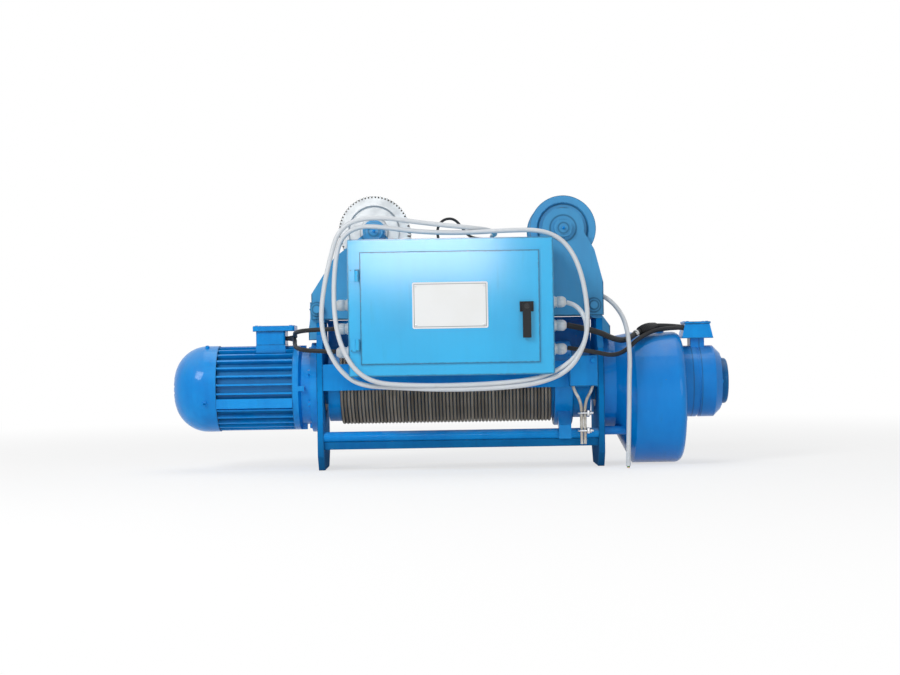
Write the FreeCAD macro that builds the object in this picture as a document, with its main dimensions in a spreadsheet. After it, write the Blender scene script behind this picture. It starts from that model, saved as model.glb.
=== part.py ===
import FreeCAD, Part
import math
import os
import re

import Sketcher

# Electric wire rope hoist with its monorail trolley, in millimetres.
# X runs along the drum from the motor to the brake, Y away from the control box, Z up.
# The origin is on the floor under the middle of the hoist.

Vector = FreeCAD.Vector
doc = FreeCAD.newDocument("rope_hoist")
sheet = doc.addObject("Spreadsheet::Sheet", "Sizes")

# Driving sizes of the hoist; a rise is measured up from the drum's axis
DRIVING = {
    "axis_height": 190,
    "half_length": 644,
    "half_depth": 316,
    # running and seating gaps
    "running_gap": 0.05,
    "free_gap": 0.6,
    # frame
    "plate_thickness": 14,
    "left_plate": -306,
    "right_plate": 336,
    "foot_half": 80,
    "foot_rise": 34,
    "foot_round": 12,
    "shoulder_rise": 82,
    "neck_rise": 122,
    "hanger_rise": 150,
    "cover_gap": 4.5,
    "cover_thickness": 8,
    "cover_inset": 2,
    "cover_lip": 12,
    "cover_drop": 6,
    "cover_height": 60,
    "rear_cover_height": 162,
    "tie_inset": 12,
    "tie_thickness": 8,
    "tie_height": 17.5,
    "guide_tube_radius": 11.5,
    "guide_tube_wall": 3,
    "guide_tube_drop": 112,
    "hanger_leg": 18,
    "hanger_leg_height": 40,
    "hanger_lap": 4,
    "hanger_block": 17,
    # hoist motor
    "motor_radius": 100,
    "cowl_wall": 2.5,
    "cowl_round": 78,
    "grille_slots": 14,
    "grille_slot_width": 8,
    "grille_inner": 12,
    "grille_outer": 46,
    "fins_left": -538,
    "fins_right": -364,
    "fin_count": 30,
    "fin_thickness": 4,
    "fin_radius": 98,
    "motor_core": 86,
    "motor_bore": 70,
    "band_height": 22,
    "band_drop": 33,
    "band_reach": 10,
    "flange_radius": 104,
    "flange_thickness": 16,
    "shield_rim": 14,
    "shield_wall": 12,
    "shaft_radius": 14,
    "thin_shaft_radius": 9,
    "fan_shaft_radius": 10,
    "shaft_inset": 20,
    "core_inset": 24,
    "rotor_radius": 52,
    "rotor_gap": 2,
    "fan_radius": 82,
    "fan_blades": 8,
    "fan_length": 44,
    "fan_disc": 3,
    "fan_hub_radius": 28,
    # hoist motor's terminal box
    "terminal_inset": 18,
    "terminal_width": 68,
    "terminal_depth": 84,
    "terminal_height": 32,
    "terminal_wall": 4,
    "lid_height": 13,
    "lid_left": 7,
    "lid_right": 22,
    "lid_front": 6,
    "lid_round": 6,
    # drum and rope
    "drum_radius": 80,
    "drum_wall": 8,
    "drum_left_gap": 10,
    "drum_right_gap": 14,
    "hub_thickness": 18,
    "journal_radius": 40,
    "journal_bore": 16,
    "bearing_outer": 55,
    "rope_diameter": 7.5,
    "rope_pitch": 8.1,
    "rope_turns": 60,
    "winding_left": -257,
    "guide_left": 237,
    "guide_width": 44,
    "guide_wall": 10,
    "fork_inset": 8,
    "fork_wall": 6,
    # gearbox
    "case_radius": 152,
    "case_drop": 36,
    "case_wall": 14,
    "neck_radius": 108,
    "neck_length": 29,
    "neck_wall": 5,
    "case_split": 425,
    "case_end": 536,
    "case_rim": 4,
    "case_round": 18,
    "lug_radius": 10,
    "lug_offset": 80,
    "lug_drop": 72,
    "lug_length": 56,
    "train_module": 2,
    "train_pinion": 14,
    "train_gear": 64,
    "output_face": 22,
    "layshaft_face": 20,
    "pinion_face": 30,
    "input_face": 26,
    "output_offset": 12,
    "input_offset": 52,
    "layshaft_radius": 10,
    "small_bearing": 24,
    "small_bearing_width": 12,
    "shaft_seat": 20,
    "plug_inset": 47,
    "plug_head_radius": 11,
    "plug_head_height": 6,
    "plug_neck_radius": 7,
    "plug_neck_height": 11,
    # brake
    "brake_radius": 83,
    "brake_wall": 9,
    "brake_end": 627,
    "brake_chamfer": 16,
    "seam_place": 34,
    "seam_width": 6,
    "seam_depth": 2,
    "disc_place": 24,
    "disc_thickness": 10,
    "disc_radius": 60,
    "armature_thickness": 8,
    "armature_gap": 1,
    "magnet_radius": 56,
    "magnet_bore": 22,
    "cap_radius": 53,
    "cap_round": 7,
    "brake_box_place": 2,
    "brake_box_width": 73,
    "brake_box_taper": 8,
    "brake_box_depth": 76,
    "brake_box_height": 34,
    "brake_neck_height": 17,
    "brake_neck_width": 33,
    "brake_lid_height": 5,
    "brake_lid_lap": 2,
    # rope's fixed end
    "anchor_width": 64,
    "anchor_height": 66,
    "anchor_wall": 8,
    "anchor_reach": 28,
    "anchor_pin_radius": 20,
    "anchor_pin_rise": 26,
    "anchor_inset": 36,
    "clip_width": 27,
    "clip_depth": 20,
    "clip_height": 13,
    "clip_bow": 2.5,
    "upper_clip_drop": 72,
    "lower_clip_drop": 112,
    # trolley
    "axle_rise": 357,
    "left_axle": -170,
    "right_axle": 263,
    "axle_radius": 15,
    "axle_head_radius": 21,
    "axle_head": 12,
    "tread_radius": 65,
    "idler_rim_radius": 76,
    "tread_width": 26,
    "rim_width": 14,
    "flange_slope": 4,
    "hub_radius": 30,
    "face_recess": 6,
    "wheel_module": 2.5,
    "wheel_teeth": 64,
    "pinion_teeth": 16,
    "cross_shaft_radius": 12,
    "side_inner": 85,
    "side_thickness": 12,
    "side_rise": 157,
    "side_left": -316,
    "side_right": 353,
    "right_ear_radius": 48,
    "left_ear_radius": 26,
    "ear_gap": 8,
    "right_slope_foot": 75,
    "right_slope_reach": 71,
    "right_slope_drop": 50,
    "left_slope_foot": 58,
    "left_slope_reach": 93,
    "left_slope_drop": 60,
    "left_bolt": -303,
    "right_bolt": 330,
    "bolt_rise": 180,
    "bolt_radius": 10,
    "bolt_head_radius": 17,
    "bolt_head": 13,
    "bolt_reach": 20,
    # travel drive behind the trolley
    "gearhead_radius": 62,
    "gearhead_length": 64,
    "gearhead_foot": 66,
    "gearhead_foot_thickness": 12,
    "travel_radius": 58,
    "travel_core": 50,
    "travel_fins": 20,
    "travel_cowl": 44,
    # control box
    "box_width": 450,
    "box_height": 300,
    "box_left": -222,
    "box_rise": 28,
    "box_front": -300,
    "box_gap": 15,
    "box_wall": 2.5,
    "box_round": 5,
    "door_width": 392,
    "door_height": 246,
    "door_thickness": 4,
    "door_inset": 27,
    "door_lap": 9,
    "hinge_inset": 30,
    "hinge_room": 34,
    "hinge_offset": 6,
    "hinge_radius": 5,
    "hinge_length": 26,
    "handle_inset": 29,
    "handle_rise": 122,
    "handle_base_half": 11,
    "handle_base": 6,
    "lever_width": 18,
    "lever_length": 68,
    "rail_height": 28,
    "rail_left": 10,
    "rail_right": 75,
    "lower_rail_rise": 160,
    "upper_rail_rise": 254,
    "gear_plate": 3,
    "gear_plate_inset": 30,
    "contactor_width": 48,
    "gear_inset": 70,
    "contactor_depth": 78,
    "contactor_height": 82,
    "contactor_rise": 170,
    "transformer_size": 80,
    "transformer_depth": 70,
    "transformer_rise": 165,
    "strip_depth": 42,
    "strip_height": 40,
    "strip_rise": 60,
    "contactor_spacing": 56,
    # cable glands and cables
    "gland_rise": 156,
    "gland_spacing": 50,
    "gland_depth": -235,
    "gland_radius": 12.5,
    "gland_length": 32,
    "gland_nut_radius": 15.5,
    "gland_nut": 9,
    "cable_radius": 5.2,
    "lead_radius": 5,
    "conduit_radius": 6.5,
    "coil_depth": 26,
    "coil_inset": 8,
    "coil_left": 64,
    "coil_right": 76,
    "coil_top": 44,
    "coil_bottom": 32,
    "coil_side_width": 30,
    "coil_round": 70,
}

# Sizes that follow from the driving ones
DERIVED = {
    "left_inner": "left_plate + plate_thickness",
    "right_outer": "right_plate + plate_thickness",
    "rope_outer": "drum_radius + rope_diameter",
    "bell_radius": "rope_outer + guide_wall",
    "cover_inner": "bell_radius + cover_gap",
    "cover_outer": "cover_inner + cover_thickness",
    "plate_half": "cover_outer + cover_inset",
    "tie_offset": "plate_half - tie_inset",
    "winding_right": "winding_left + rope_pitch * rope_turns",
    "shoulder_height": "axis_height + shoulder_rise",
    "neck_height": "axis_height + neck_rise",
    "hanger_seat": "axis_height + hanger_rise",
    "tube_height": "axis_height - guide_tube_drop",
    "terminal_right": "fins_right - terminal_inset",
    "terminal_left": "terminal_right - terminal_width",
    "terminal_floor": "axis_height + motor_radius",
    "train_distance": "train_module * (train_pinion + train_gear) / 2",
    "layshaft_height": "axis_height - train_distance",
    "case_height": "axis_height - case_drop",
    "output_place": "case_split + output_offset",
    "input_place": "case_split + input_offset",
    "brake_box_left": "case_end + brake_box_place",
    "brake_box_floor": "axis_height + brake_radius + brake_neck_height",
    "rope_plane": "-plate_half - anchor_reach / 2 + 1",
    "anchor_middle": "right_plate - anchor_inset",
    "axle_height": "axis_height + axle_rise",
    "side_bottom": "axis_height + side_rise",
    "side_outer": "side_inner + side_thickness",
    "bolt_height": "axis_height + bolt_rise",
    "wheel_pitch_radius": "wheel_module * wheel_teeth / 2",
    "wheel_tip_radius": "wheel_pitch_radius + wheel_module",
    "pinion_height": "axle_height - wheel_module * (wheel_teeth + pinion_teeth) / 2",
    "wheel_face": "side_inner - 1",
    "wheel_width": "rim_width + flange_slope + tread_width",
    "box_back": "-cover_outer - box_gap",
    "box_bottom": "axis_height + box_rise",
    "box_top": "box_bottom + box_height",
    "box_right": "box_left + box_width",
    "door_left": "box_left + door_inset",
    "door_right": "door_left + door_width",
    "door_bottom": "box_bottom + door_inset - 1",
    "door_top": "door_bottom + door_height",
    "door_face": "box_front - door_thickness",
    "hinge_line": "door_left - hinge_offset",
    "hinge_depth": "box_front - hinge_offset",
    "handle_across": "door_right - handle_inset",
    "handle_height": "door_bottom + handle_rise",
    "gear_face": "box_back - box_wall - gear_plate",
    "gland_top": "box_bottom + gland_rise",
}


def bound(expression):
    """The same expression with every size's name pointing at its sheet cell."""
    def cell(match):
        word = match.group()
        return "Sizes." + word if word in DRIVING or word in DERIVED else word
    return re.sub(r"[A-Za-z_]\w*", cell, str(expression))


def fill_sheet():
    for row, (name, number) in enumerate({**DRIVING, **DERIVED}.items(), start=1):
        text = str(number) if name in DRIVING else "=" + re.sub(r"Sizes\.", "", bound(number))
        sheet.set(f"A{row}", name)
        sheet.set(f"B{row}", text)
        sheet.setAlias(f"B{row}", name)
    doc.recompute()


def value(expression):
    return float(sheet.evalExpression(bound(expression)))


def bind(thing, path, expression):
    thing.setExpression(path, bound(expression))


def place(thing, x=0, y=0, z=0):
    for letter, expression in zip("xyz", (x, y, z)):
        bind(thing, f"Placement.Base.{letter}", expression)
    return thing


# Sketches and features of a body

def new_body(label):
    body = doc.addObject("PartDesign::Body", label)
    body.Label = label
    return body


def new_sketch(body, plane, offset=0):
    sketch = body.newObject("Sketcher::SketchObject", "outline")
    support = next(f for f in body.Origin.OriginFeatures if f.Role == plane)
    sketch.AttachmentSupport = [(support, "")]
    sketch.MapMode = "FlatFace"
    bind(sketch, "AttachmentOffset.Base.z", offset)
    return sketch


def pin_point(sketch, index, corner, x, y):
    """Ties one point of a sketch to two expressions."""
    for kind, expression in (("DistanceX", x), ("DistanceY", y)):
        number = value(expression)
        place_in = sketch.addConstraint(
            Sketcher.Constraint(kind, -1, 1, index, corner, number)
        )
        bind(sketch, f"Constraints[{place_in}]", expression)


def polygon(sketch, points):
    first = sketch.GeometryCount
    corners = [Vector(value(x), value(y), 0) for x, y in points]
    count = len(corners)
    for i in range(count):
        sketch.addGeometry(Part.LineSegment(corners[i], corners[(i + 1) % count]), False)
    for i in range(count):
        following = first + (i + 1) % count
        sketch.addConstraint(Sketcher.Constraint("Coincident", first + i, 2, following, 1))
    for i, (x, y) in enumerate(points):
        pin_point(sketch, first + i, 1, x, y)
    return sketch


def rectangle(sketch, x0, y0, x1, y1):
    return polygon(sketch, [(x0, y0), (x1, y0), (x1, y1), (x0, y1)])


def circle(sketch, x, y, radius):
    middle = Vector(value(x), value(y), 0)
    index = sketch.addGeometry(Part.Circle(middle, Vector(0, 0, 1), value(radius)), False)
    pin_point(sketch, index, 3, x, y)
    size = sketch.addConstraint(Sketcher.Constraint("Radius", index, value(radius)))
    bind(sketch, f"Constraints[{size}]", radius)
    return sketch


def feature(body, kind, sketch):
    made = body.newObject("PartDesign::" + kind, kind.lower())
    made.Profile = sketch
    sketch.Visibility = False
    return made


def pad(body, sketch, length, both_ways=False, backwards=False):
    made = feature(body, "Pad", sketch)
    bind(made, "Length", length)
    made.Midplane = both_ways
    made.Reversed = backwards
    doc.recompute()
    return made


def pocket(body, sketch, depth, backwards=False):
    before = body.Shape.Volume
    made = feature(body, "Pocket", sketch)
    bind(made, "Length", depth)
    made.Reversed = backwards
    doc.recompute()
    if body.Shape.Volume >= before:
        raise RuntimeError(f"{body.Label}: a pocket cuts nothing")
    return made


def revolve(body, sketch, axis="H_Axis"):
    made = feature(body, "Revolution", sketch)
    made.ReferenceAxis = (sketch, [axis])
    made.Angle = 360
    doc.recompute()
    return made


def repeat_round(body, original, sketch, count):
    """Repeats a feature evenly round the sketch's own normal."""
    made = body.newObject("PartDesign::PolarPattern", "ring")
    made.Originals = [original]
    made.Axis = (sketch, ["N_Axis"])
    made.Angle = 360
    bind(made, "Occurrences", count)
    body.Tip = made
    doc.recompute()
    return made


def edges_at(shape, test):
    """Names of the edges whose middle passes the test."""
    names = []
    for number, edge in enumerate(shape.Edges, start=1):
        middle = edge.valueAt((edge.FirstParameter + edge.LastParameter) / 2)
        if test(edge, middle):
            names.append(f"Edge{number}")
    return names


def round_edges(body, radius, test, kind="Fillet"):
    base = body.Tip
    names = edges_at(base.Shape, test)
    if not names:
        raise RuntimeError(f"{body.Label}: no edge to round")
    made = body.newObject("PartDesign::" + kind, kind.lower())
    made.Base = (base, names)
    bind(made, "Radius" if kind == "Fillet" else "Size", radius)
    doc.recompute()
    return made


def turned(label, points, height="axis_height"):
    """A body turned round an axis along X, from points of place and radius."""
    body = new_body(label)
    revolve(body, polygon(new_sketch(body, "XZ_Plane"), points))
    return place(body, z=height)


def is_ring(radius, along, slack=0.5):
    """An edge test: a full circle round X of this radius at this place."""
    def test(edge, middle):
        curve = edge.Curve
        if not hasattr(curve, "Radius"):
            return False
        return abs(curve.Radius - value(radius)) < slack and abs(middle.x - value(along)) < slack
    return test


# Plain solids

def block(name, low, high):
    """A box between two corners given as expressions."""
    made = doc.addObject("Part::Box", name)
    for side, (a, b) in zip(("Length", "Width", "Height"), zip(low, high)):
        bind(made, side, f"({b}) - ({a})")
    return place(made, *low)


DIRECTIONS = {
    "x": FreeCAD.Rotation(Vector(0, 1, 0), 90),
    "y": FreeCAD.Rotation(Vector(1, 0, 0), -90),
    "z": FreeCAD.Rotation(),
    "-x": FreeCAD.Rotation(Vector(0, 1, 0), -90),
}


def rod(name, radius, length, start, direction):
    made = doc.addObject("Part::Cylinder", name)
    bind(made, "Radius", radius)
    bind(made, "Height", length)
    made.Placement = FreeCAD.Placement(Vector(), DIRECTIONS[direction])
    return place(made, *start)


def hexagon(name, radius, length, start, direction):
    made = doc.addObject("Part::Prism", name)
    made.Polygon = 6
    bind(made, "Circumradius", radius)
    bind(made, "Height", length)
    made.Placement = FreeCAD.Placement(Vector(), DIRECTIONS[direction])
    return place(made, *start)


def joined(label, things):
    made = doc.addObject("Part::MultiFuse", label)
    made.Label = label
    made.Shapes = things
    return made


def without(label, base, tool):
    made = doc.addObject("Part::Cut", label)
    made.Label = label
    made.Base = base
    made.Tool = tool
    return made


def group(label, things):
    made = doc.addObject("Part::Compound", label)
    made.Label = label
    made.Links = things
    return made


def ring(name, inner, outer, length, start, direction):
    core = rod(name + "_bore", inner, length, start, direction)
    return without(name, rod(name + "_outer", outer, length, start, direction), core)


def shaped(label, shape):
    made = doc.addObject("Part::Feature", label)
    made.Label = label
    made.Shape = shape
    return made


# Involute teeth

def involute(angle):
    return math.tan(angle) - angle


def tooth_outline(teeth, module, phase):
    """Closed outline of a gear: three points on each involute flank."""
    pressure = math.radians(20)
    pitch = module * teeth / 2
    base = pitch * math.cos(pressure)
    root, tip = pitch - 1.3 * module, pitch + module
    half_tooth = 0.46 * math.pi * module / (2 * pitch)

    def half_angle(radius):
        lean = math.acos(min(1.0, base / max(radius, base)))
        return half_tooth + involute(pressure) - involute(lean)

    points = []
    for i in range(teeth):
        middle = 2 * math.pi * (i + phase) / teeth
        flank = [(r, half_angle(r)) for r in (root, pitch, tip)]
        sides = [(r, -a) for r, a in flank] + [(r, a) for r, a in reversed(flank)]
        points += [(r * math.cos(middle + a), r * math.sin(middle + a)) for r, a in sides]
    return points


def toothed_prism(name, teeth, module, length, phase=0.0):
    """A toothed bar along Z, for gears and for cutting teeth into a blank."""
    corners = [Vector(x, y, 0) for x, y in tooth_outline(int(value(teeth)), value(module), phase)]
    face = Part.Face(Part.makePolygon(corners + corners[:1]))
    return shaped(name, face.extrude(Vector(0, 0, value(length))))


# Cords: straight runs joined by tangent arcs

def cord_route(points):
    corners = [Vector(*p) for p in points]
    edges = []
    start = corners[0]
    radii = []
    for before, corner, after in zip(corners, corners[1:], corners[2:]):
        back, ahead = before - corner, after - corner
        reach = 0.45 * min(back.Length, ahead.Length)
        turn = math.pi - back.getAngle(ahead)
        radii.append(reach / math.tan(turn / 2))
        back.normalize()
        ahead.normalize()
        enter, leave = corner + back * reach, corner + ahead * reach
        inward = back + ahead
        inward.normalize()
        middle = corner + inward * (radii[-1] / math.cos(turn / 2) - radii[-1])
        edges.append(Part.LineSegment(start, enter).toShape())
        edges.append(Part.Arc(enter, middle, leave).toShape())
        start = leave
    edges.append(Part.LineSegment(start, corners[-1]).toShape())
    return Part.Wire(edges), radii


def cord(label, points, radius):
    """A round cord along a route, checked against its section times its length."""
    wire, radii = cord_route(points)
    along = wire.Edges[0].tangentAt(wire.Edges[0].FirstParameter)
    section = Part.Wire([Part.makeCircle(radius, Vector(*points[0]), along)])
    solid = wire.makePipeShell([section], True, False)
    ratio = solid.Volume / (math.pi * radius ** 2 * wire.Length)
    print(f"{label}: length {wire.Length:.0f}, least radius {min(radii):.0f}, volume {ratio:.3f}")
    return solid



# Frame: end plates, covers, ties and hangers

def end_plate(label, left):
    body = new_body(label)
    sketch = new_sketch(body, "YZ_Plane", left)
    half = [
        ("foot_half", 0),
        ("plate_half", "foot_rise"),
        ("plate_half", "shoulder_height"),
        ("wheel_face", "neck_height"),
        ("wheel_face", "hanger_seat"),
    ]
    mirrored = [(f"-({y})", z) for y, z in reversed(half)]
    pad(body, polygon(sketch, half + mirrored), "plate_thickness")
    hole = circle(new_sketch(body, "YZ_Plane", left), 0, "axis_height", "bearing_outer")
    pocket(body, hole, "plate_thickness", backwards=True)
    middle_x = value(f"{left} + plate_thickness / 2")
    corner = value("foot_rise")
    shortest = value("foot_half") / 2

    def foot_corner(edge, middle):
        across = abs(middle.x - middle_x) < 1 and abs(middle.y) > shortest
        return across and middle.z < corner + 1

    round_edges(body, "foot_round", foot_corner)
    return body


def cover_channel(label, side, height):
    """Angle section between the end plates, beside the upper half of the drum."""
    body = new_body(label)
    sketch = new_sketch(body, "YZ_Plane", "left_inner")
    bottom = "axis_height - cover_drop"
    top = f"{bottom} + {height}"
    profile = [
        ("cover_outer", bottom), ("cover_outer", top),
        ("cover_inner - cover_lip", top), ("cover_inner - cover_lip", f"{top} - cover_thickness"),
        ("cover_inner", f"{top} - cover_thickness"), ("cover_inner", bottom),
    ]
    polygon(sketch, [(f"{side} * ({y})", z) for y, z in profile])
    pad(body, sketch, "right_plate - left_inner")
    return body


def guide_tube():
    start = ("left_inner", "-tie_offset", "tube_height")
    inner = "guide_tube_radius - guide_tube_wall"
    return ring("guide_tube", inner, "guide_tube_radius", "right_plate - left_inner", start, "x")


def tie_bar(label, side):
    top = "tube_height - guide_tube_radius"
    low = ("left_inner", f"{side} * tie_offset - tie_thickness / 2", f"{top} - tie_height")
    high = ("right_plate", f"{side} * tie_offset + tie_thickness / 2", top)
    return block(label, low, high)


def hanger(label, plate_outer, bolt, out):
    """Saddle over an end plate: the trolley's bolt passes through its top."""
    body = new_body(label)
    sketch = new_sketch(body, "XZ_Plane")
    inside = f"{plate_outer} - {out} * (plate_thickness + hanger_lap)"
    leg = f"{plate_outer} + {out} * hanger_leg"
    near, far = f"{bolt} - {out} * hanger_block", f"{bolt} + {out} * hanger_block"
    waist, top = "side_bottom + hanger_lap", "bolt_height + hanger_block"
    profile = [
        (inside, "hanger_seat"), (plate_outer, "hanger_seat"),
        (plate_outer, "hanger_seat - hanger_leg_height"), (leg, "hanger_seat - hanger_leg_height"),
        (leg, "hanger_seat - hanger_leg"), (far, waist), (far, top), (near, top), (near, waist),
    ]
    pad(body, polygon(sketch, profile), "2 * side_inner", both_ways=True)
    hole = circle(new_sketch(body, "XZ_Plane", "-side_inner"), bolt, "bolt_height", "bolt_radius")
    pocket(body, hole, "2 * side_inner", backwards=True)
    return body


def hangers():
    left = hanger("left_hanger", "left_plate", "left_bolt", -1)
    right = hanger("right_hanger", "right_outer", "right_bolt", 1)
    return group("hangers", [left, right])


def suspension_bolts():
    bolts = []
    end = "-side_outer - bolt_reach"
    length = "2 * (side_outer + bolt_reach)"
    for name in ("left_bolt", "right_bolt"):
        shank = rod(f"{name}_shank", "bolt_radius", length, (name, end, "bolt_height"), "y")
        seats = (f"{name}_head", "-side_outer - bolt_head"), (f"{name}_nut", "side_outer")
        hexes = [
            hexagon(part, "bolt_head_radius", "bolt_head", (name, seat, "bolt_height"), "y")
            for part, seat in seats
        ]
        bolts.append(joined(f"{name}_set", [shank] + hexes))
    return group("suspension_bolts", bolts)


# Hoist motor

def fan_cowl():
    body = new_body("fan_cowl")
    blank = [
        ("-half_length", 0), ("-half_length", "motor_radius"),
        ("fins_left", "motor_radius"), ("fins_left", 0),
    ]
    revolve(body, polygon(new_sketch(body, "XZ_Plane"), blank))
    round_edges(body, "cowl_round", is_ring("motor_radius", "-half_length"))
    solid = body.Tip
    faces = solid.Shape.Faces
    open_face = max(range(len(faces)), key=lambda i: faces[i].CenterOfMass.x)
    shell = body.newObject("PartDesign::Thickness", "shell")
    shell.Base = (solid, [f"Face{open_face + 1}"])
    bind(shell, "Value", "cowl_wall")
    shell.Reversed = True
    doc.recompute()
    slots = new_sketch(body, "YZ_Plane", "-half_length - cowl_wall")
    half = "grille_slot_width / 2"
    rectangle(slots, f"-{half}", "grille_inner", half, "grille_outer")
    cut = pocket(body, slots, "8 * cowl_wall", backwards=True)
    repeat_round(body, cut, slots, "grille_slots")
    return place(body, z="axis_height")


def motor_housing():
    core = [
        ("fins_left", "motor_bore"), ("fins_left", "motor_core"),
        ("fins_right", "motor_core"), ("fins_right", "motor_bore"),
    ]
    body = turned("motor_housing", core)
    length = "fins_right - fins_left"
    root = "motor_core - fin_thickness"
    fin = new_sketch(body, "YZ_Plane", "fins_left")
    rectangle(fin, "-fin_thickness / 2", root, "fin_thickness / 2", "fin_radius")
    repeat_round(body, pad(body, fin, length), fin, "fin_count")
    band = new_sketch(body, "YZ_Plane", "fins_left")
    low, high = "-band_drop - band_height / 2", "-band_drop + band_height / 2"
    rectangle(band, "-motor_core - band_reach", low, "fin_thickness + band_reach - motor_core", high)
    pad(body, band, length)
    seat = new_sketch(body, "XY_Plane", root)
    rectangle(seat, "terminal_left", "-terminal_depth / 2", "terminal_right", "terminal_depth / 2")
    pad(body, seat, f"motor_radius - ({root})")
    return body


def end_shield():
    rim = "fins_right + shield_rim"
    flange = "left_plate - flange_thickness"
    inner = "fins_right + shield_wall"
    profile = [
        ("fins_right", "motor_bore"), ("fins_right", "fin_radius"), (rim, "fin_radius"),
        (f"{rim} + flange_radius - fin_radius", "motor_core"), (flange, "motor_core"),
        (flange, "flange_radius"), ("left_plate", "flange_radius"), ("left_plate", "small_bearing"),
        (flange, "small_bearing"), (inner, "journal_radius"), (inner, "motor_bore"),
    ]
    body = turned("motor_end_shield", profile)
    pads = new_sketch(body, "YZ_Plane", "fins_right")
    rectangle(pads, "-shield_wall / 2", "motor_bore", "shield_wall / 2", "fin_radius")
    repeat_round(body, pad(body, pads, "2 * shield_rim"), pads, 4)
    return body


def terminal_box():
    body = new_body("motor_terminal_box")
    half, wall = "terminal_depth / 2", "terminal_wall"
    sketch = new_sketch(body, "XY_Plane")
    rectangle(sketch, "terminal_left", f"-{half}", "terminal_right", half)
    pad(body, sketch, "terminal_height")
    inside = new_sketch(body, "XY_Plane", "terminal_height")
    rectangle(inside, f"terminal_left + {wall}", f"{wall} - {half}",
              f"terminal_right - {wall}", f"{half} - {wall}")
    pocket(body, inside, f"terminal_height - {wall}")
    middle_z, outside = value("terminal_height / 2"), value(f"{half} - 1")
    round_edges(body, "lid_round", lambda edge, middle: abs(middle.z - middle_z) < 1
                and abs(middle.y) > outside)
    return place(body, z="terminal_floor")


def terminal_lid():
    body = new_body("motor_terminal_lid")
    half = "terminal_depth / 2 + lid_front"
    sketch = new_sketch(body, "XY_Plane")
    rectangle(sketch, "terminal_left - lid_left", f"-({half})", "terminal_right + lid_right", half)
    pad(body, sketch, "lid_height")
    top = value("lid_height")
    round_edges(body, "lid_round", lambda edge, middle: abs(middle.z - top / 2) < 1)
    round_edges(body, "lid_round / 2", lambda edge, middle: abs(middle.z - top) < 0.1)
    return place(body, z="terminal_floor + terminal_height")


def core_ring(label, inner, outer):
    """Laminated core of the motor, as long as its stack of sheets."""
    left, right = "fins_left + core_inset", "fins_right - core_inset"
    return turned(label, [(left, inner), (left, outer), (right, outer), (right, inner)])


def motor_shaft():
    start, step, end = "shaft_inset - half_length", "fins_left - fan_disc", "brake_end - shaft_inset"
    seat = "input_place - shaft_radius"
    profile = [
        (start, 0), (start, "fan_shaft_radius"), (step, "fan_shaft_radius"), (step, "shaft_radius"),
        (seat, "shaft_radius"), (seat, "thin_shaft_radius"), (end, "thin_shaft_radius"), (end, 0),
    ]
    return turned("motor_shaft", profile)


def cooling_fan():
    disc = "fins_left - fan_shaft_radius"
    front = f"{disc} - fan_disc"
    start = f"{front} - fan_length"
    hub = [
        (start, "fan_shaft_radius"), (start, "fan_hub_radius"), (front, "fan_hub_radius"),
        (front, "fan_radius"), (disc, "fan_radius"), (disc, "fan_shaft_radius"),
    ]
    body = turned("cooling_fan", hub)
    blade = new_sketch(body, "YZ_Plane", start)
    half = "fan_disc / 2"
    rectangle(blade, f"-{half}", "fan_hub_radius - fan_disc", half, "fan_radius - fan_disc")
    repeat_round(body, pad(body, blade, "fan_length"), blade, "fan_blades")
    return body


# Drum, rope and rope guide

def drum_shell():
    left, right = "left_inner + drum_left_gap", "right_plate - drum_right_gap"
    inner = "drum_radius - drum_wall"
    profile = [(left, inner), (left, "drum_radius"), (right, "drum_radius"), (right, inner)]
    return turned("drum_shell", profile)


def drum_hub(label, inner, outer, end):
    """Disc inside the drum's end with the journal that turns in an end plate."""
    seat = "drum_radius - drum_wall"
    profile = [
        (inner, "journal_bore"), (inner, seat), (outer, seat), (outer, "journal_radius"),
        (end, "journal_radius"), (end, "journal_bore"),
    ]
    return turned(label, profile)


def drum_hubs():
    left_face = "left_inner + drum_left_gap + cover_inset"
    right_face = "right_plate - drum_right_gap - cover_inset"
    left = drum_hub("left_drum_hub", f"{left_face} + hub_thickness", left_face, "left_plate + free_gap")
    right = drum_hub("right_drum_hub", f"{right_face} - hub_thickness", right_face,
                     "output_place + output_face + cover_inset")
    return group("drum_hubs", [left, right])


def rope_winding():
    profile = [
        ("winding_left", "drum_radius"), ("winding_left", "rope_outer"),
        ("winding_right", "rope_outer"), ("winding_right", "drum_radius"),
    ]
    return turned("rope_winding", profile)


def drum_bearings():
    bore = "journal_radius + running_gap"
    return [
        ring(name, bore, "bearing_outer", "plate_thickness", (plate, 0, "axis_height"), "x")
        for name, plate in (("left_bearing", "left_plate"), ("right_bearing", "right_plate"))
    ]


def shaft_bearings():
    left = ring("shield_bearing", "shaft_radius + running_gap", "small_bearing", "flange_thickness",
                ("left_plate - flange_thickness", 0, "axis_height"), "x")
    right = ring("cover_bearing", "thin_shaft_radius + running_gap", "shaft_seat", "case_wall",
                 ("case_end - case_wall", 0, "axis_height"), "x")
    return [left, right]


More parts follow.
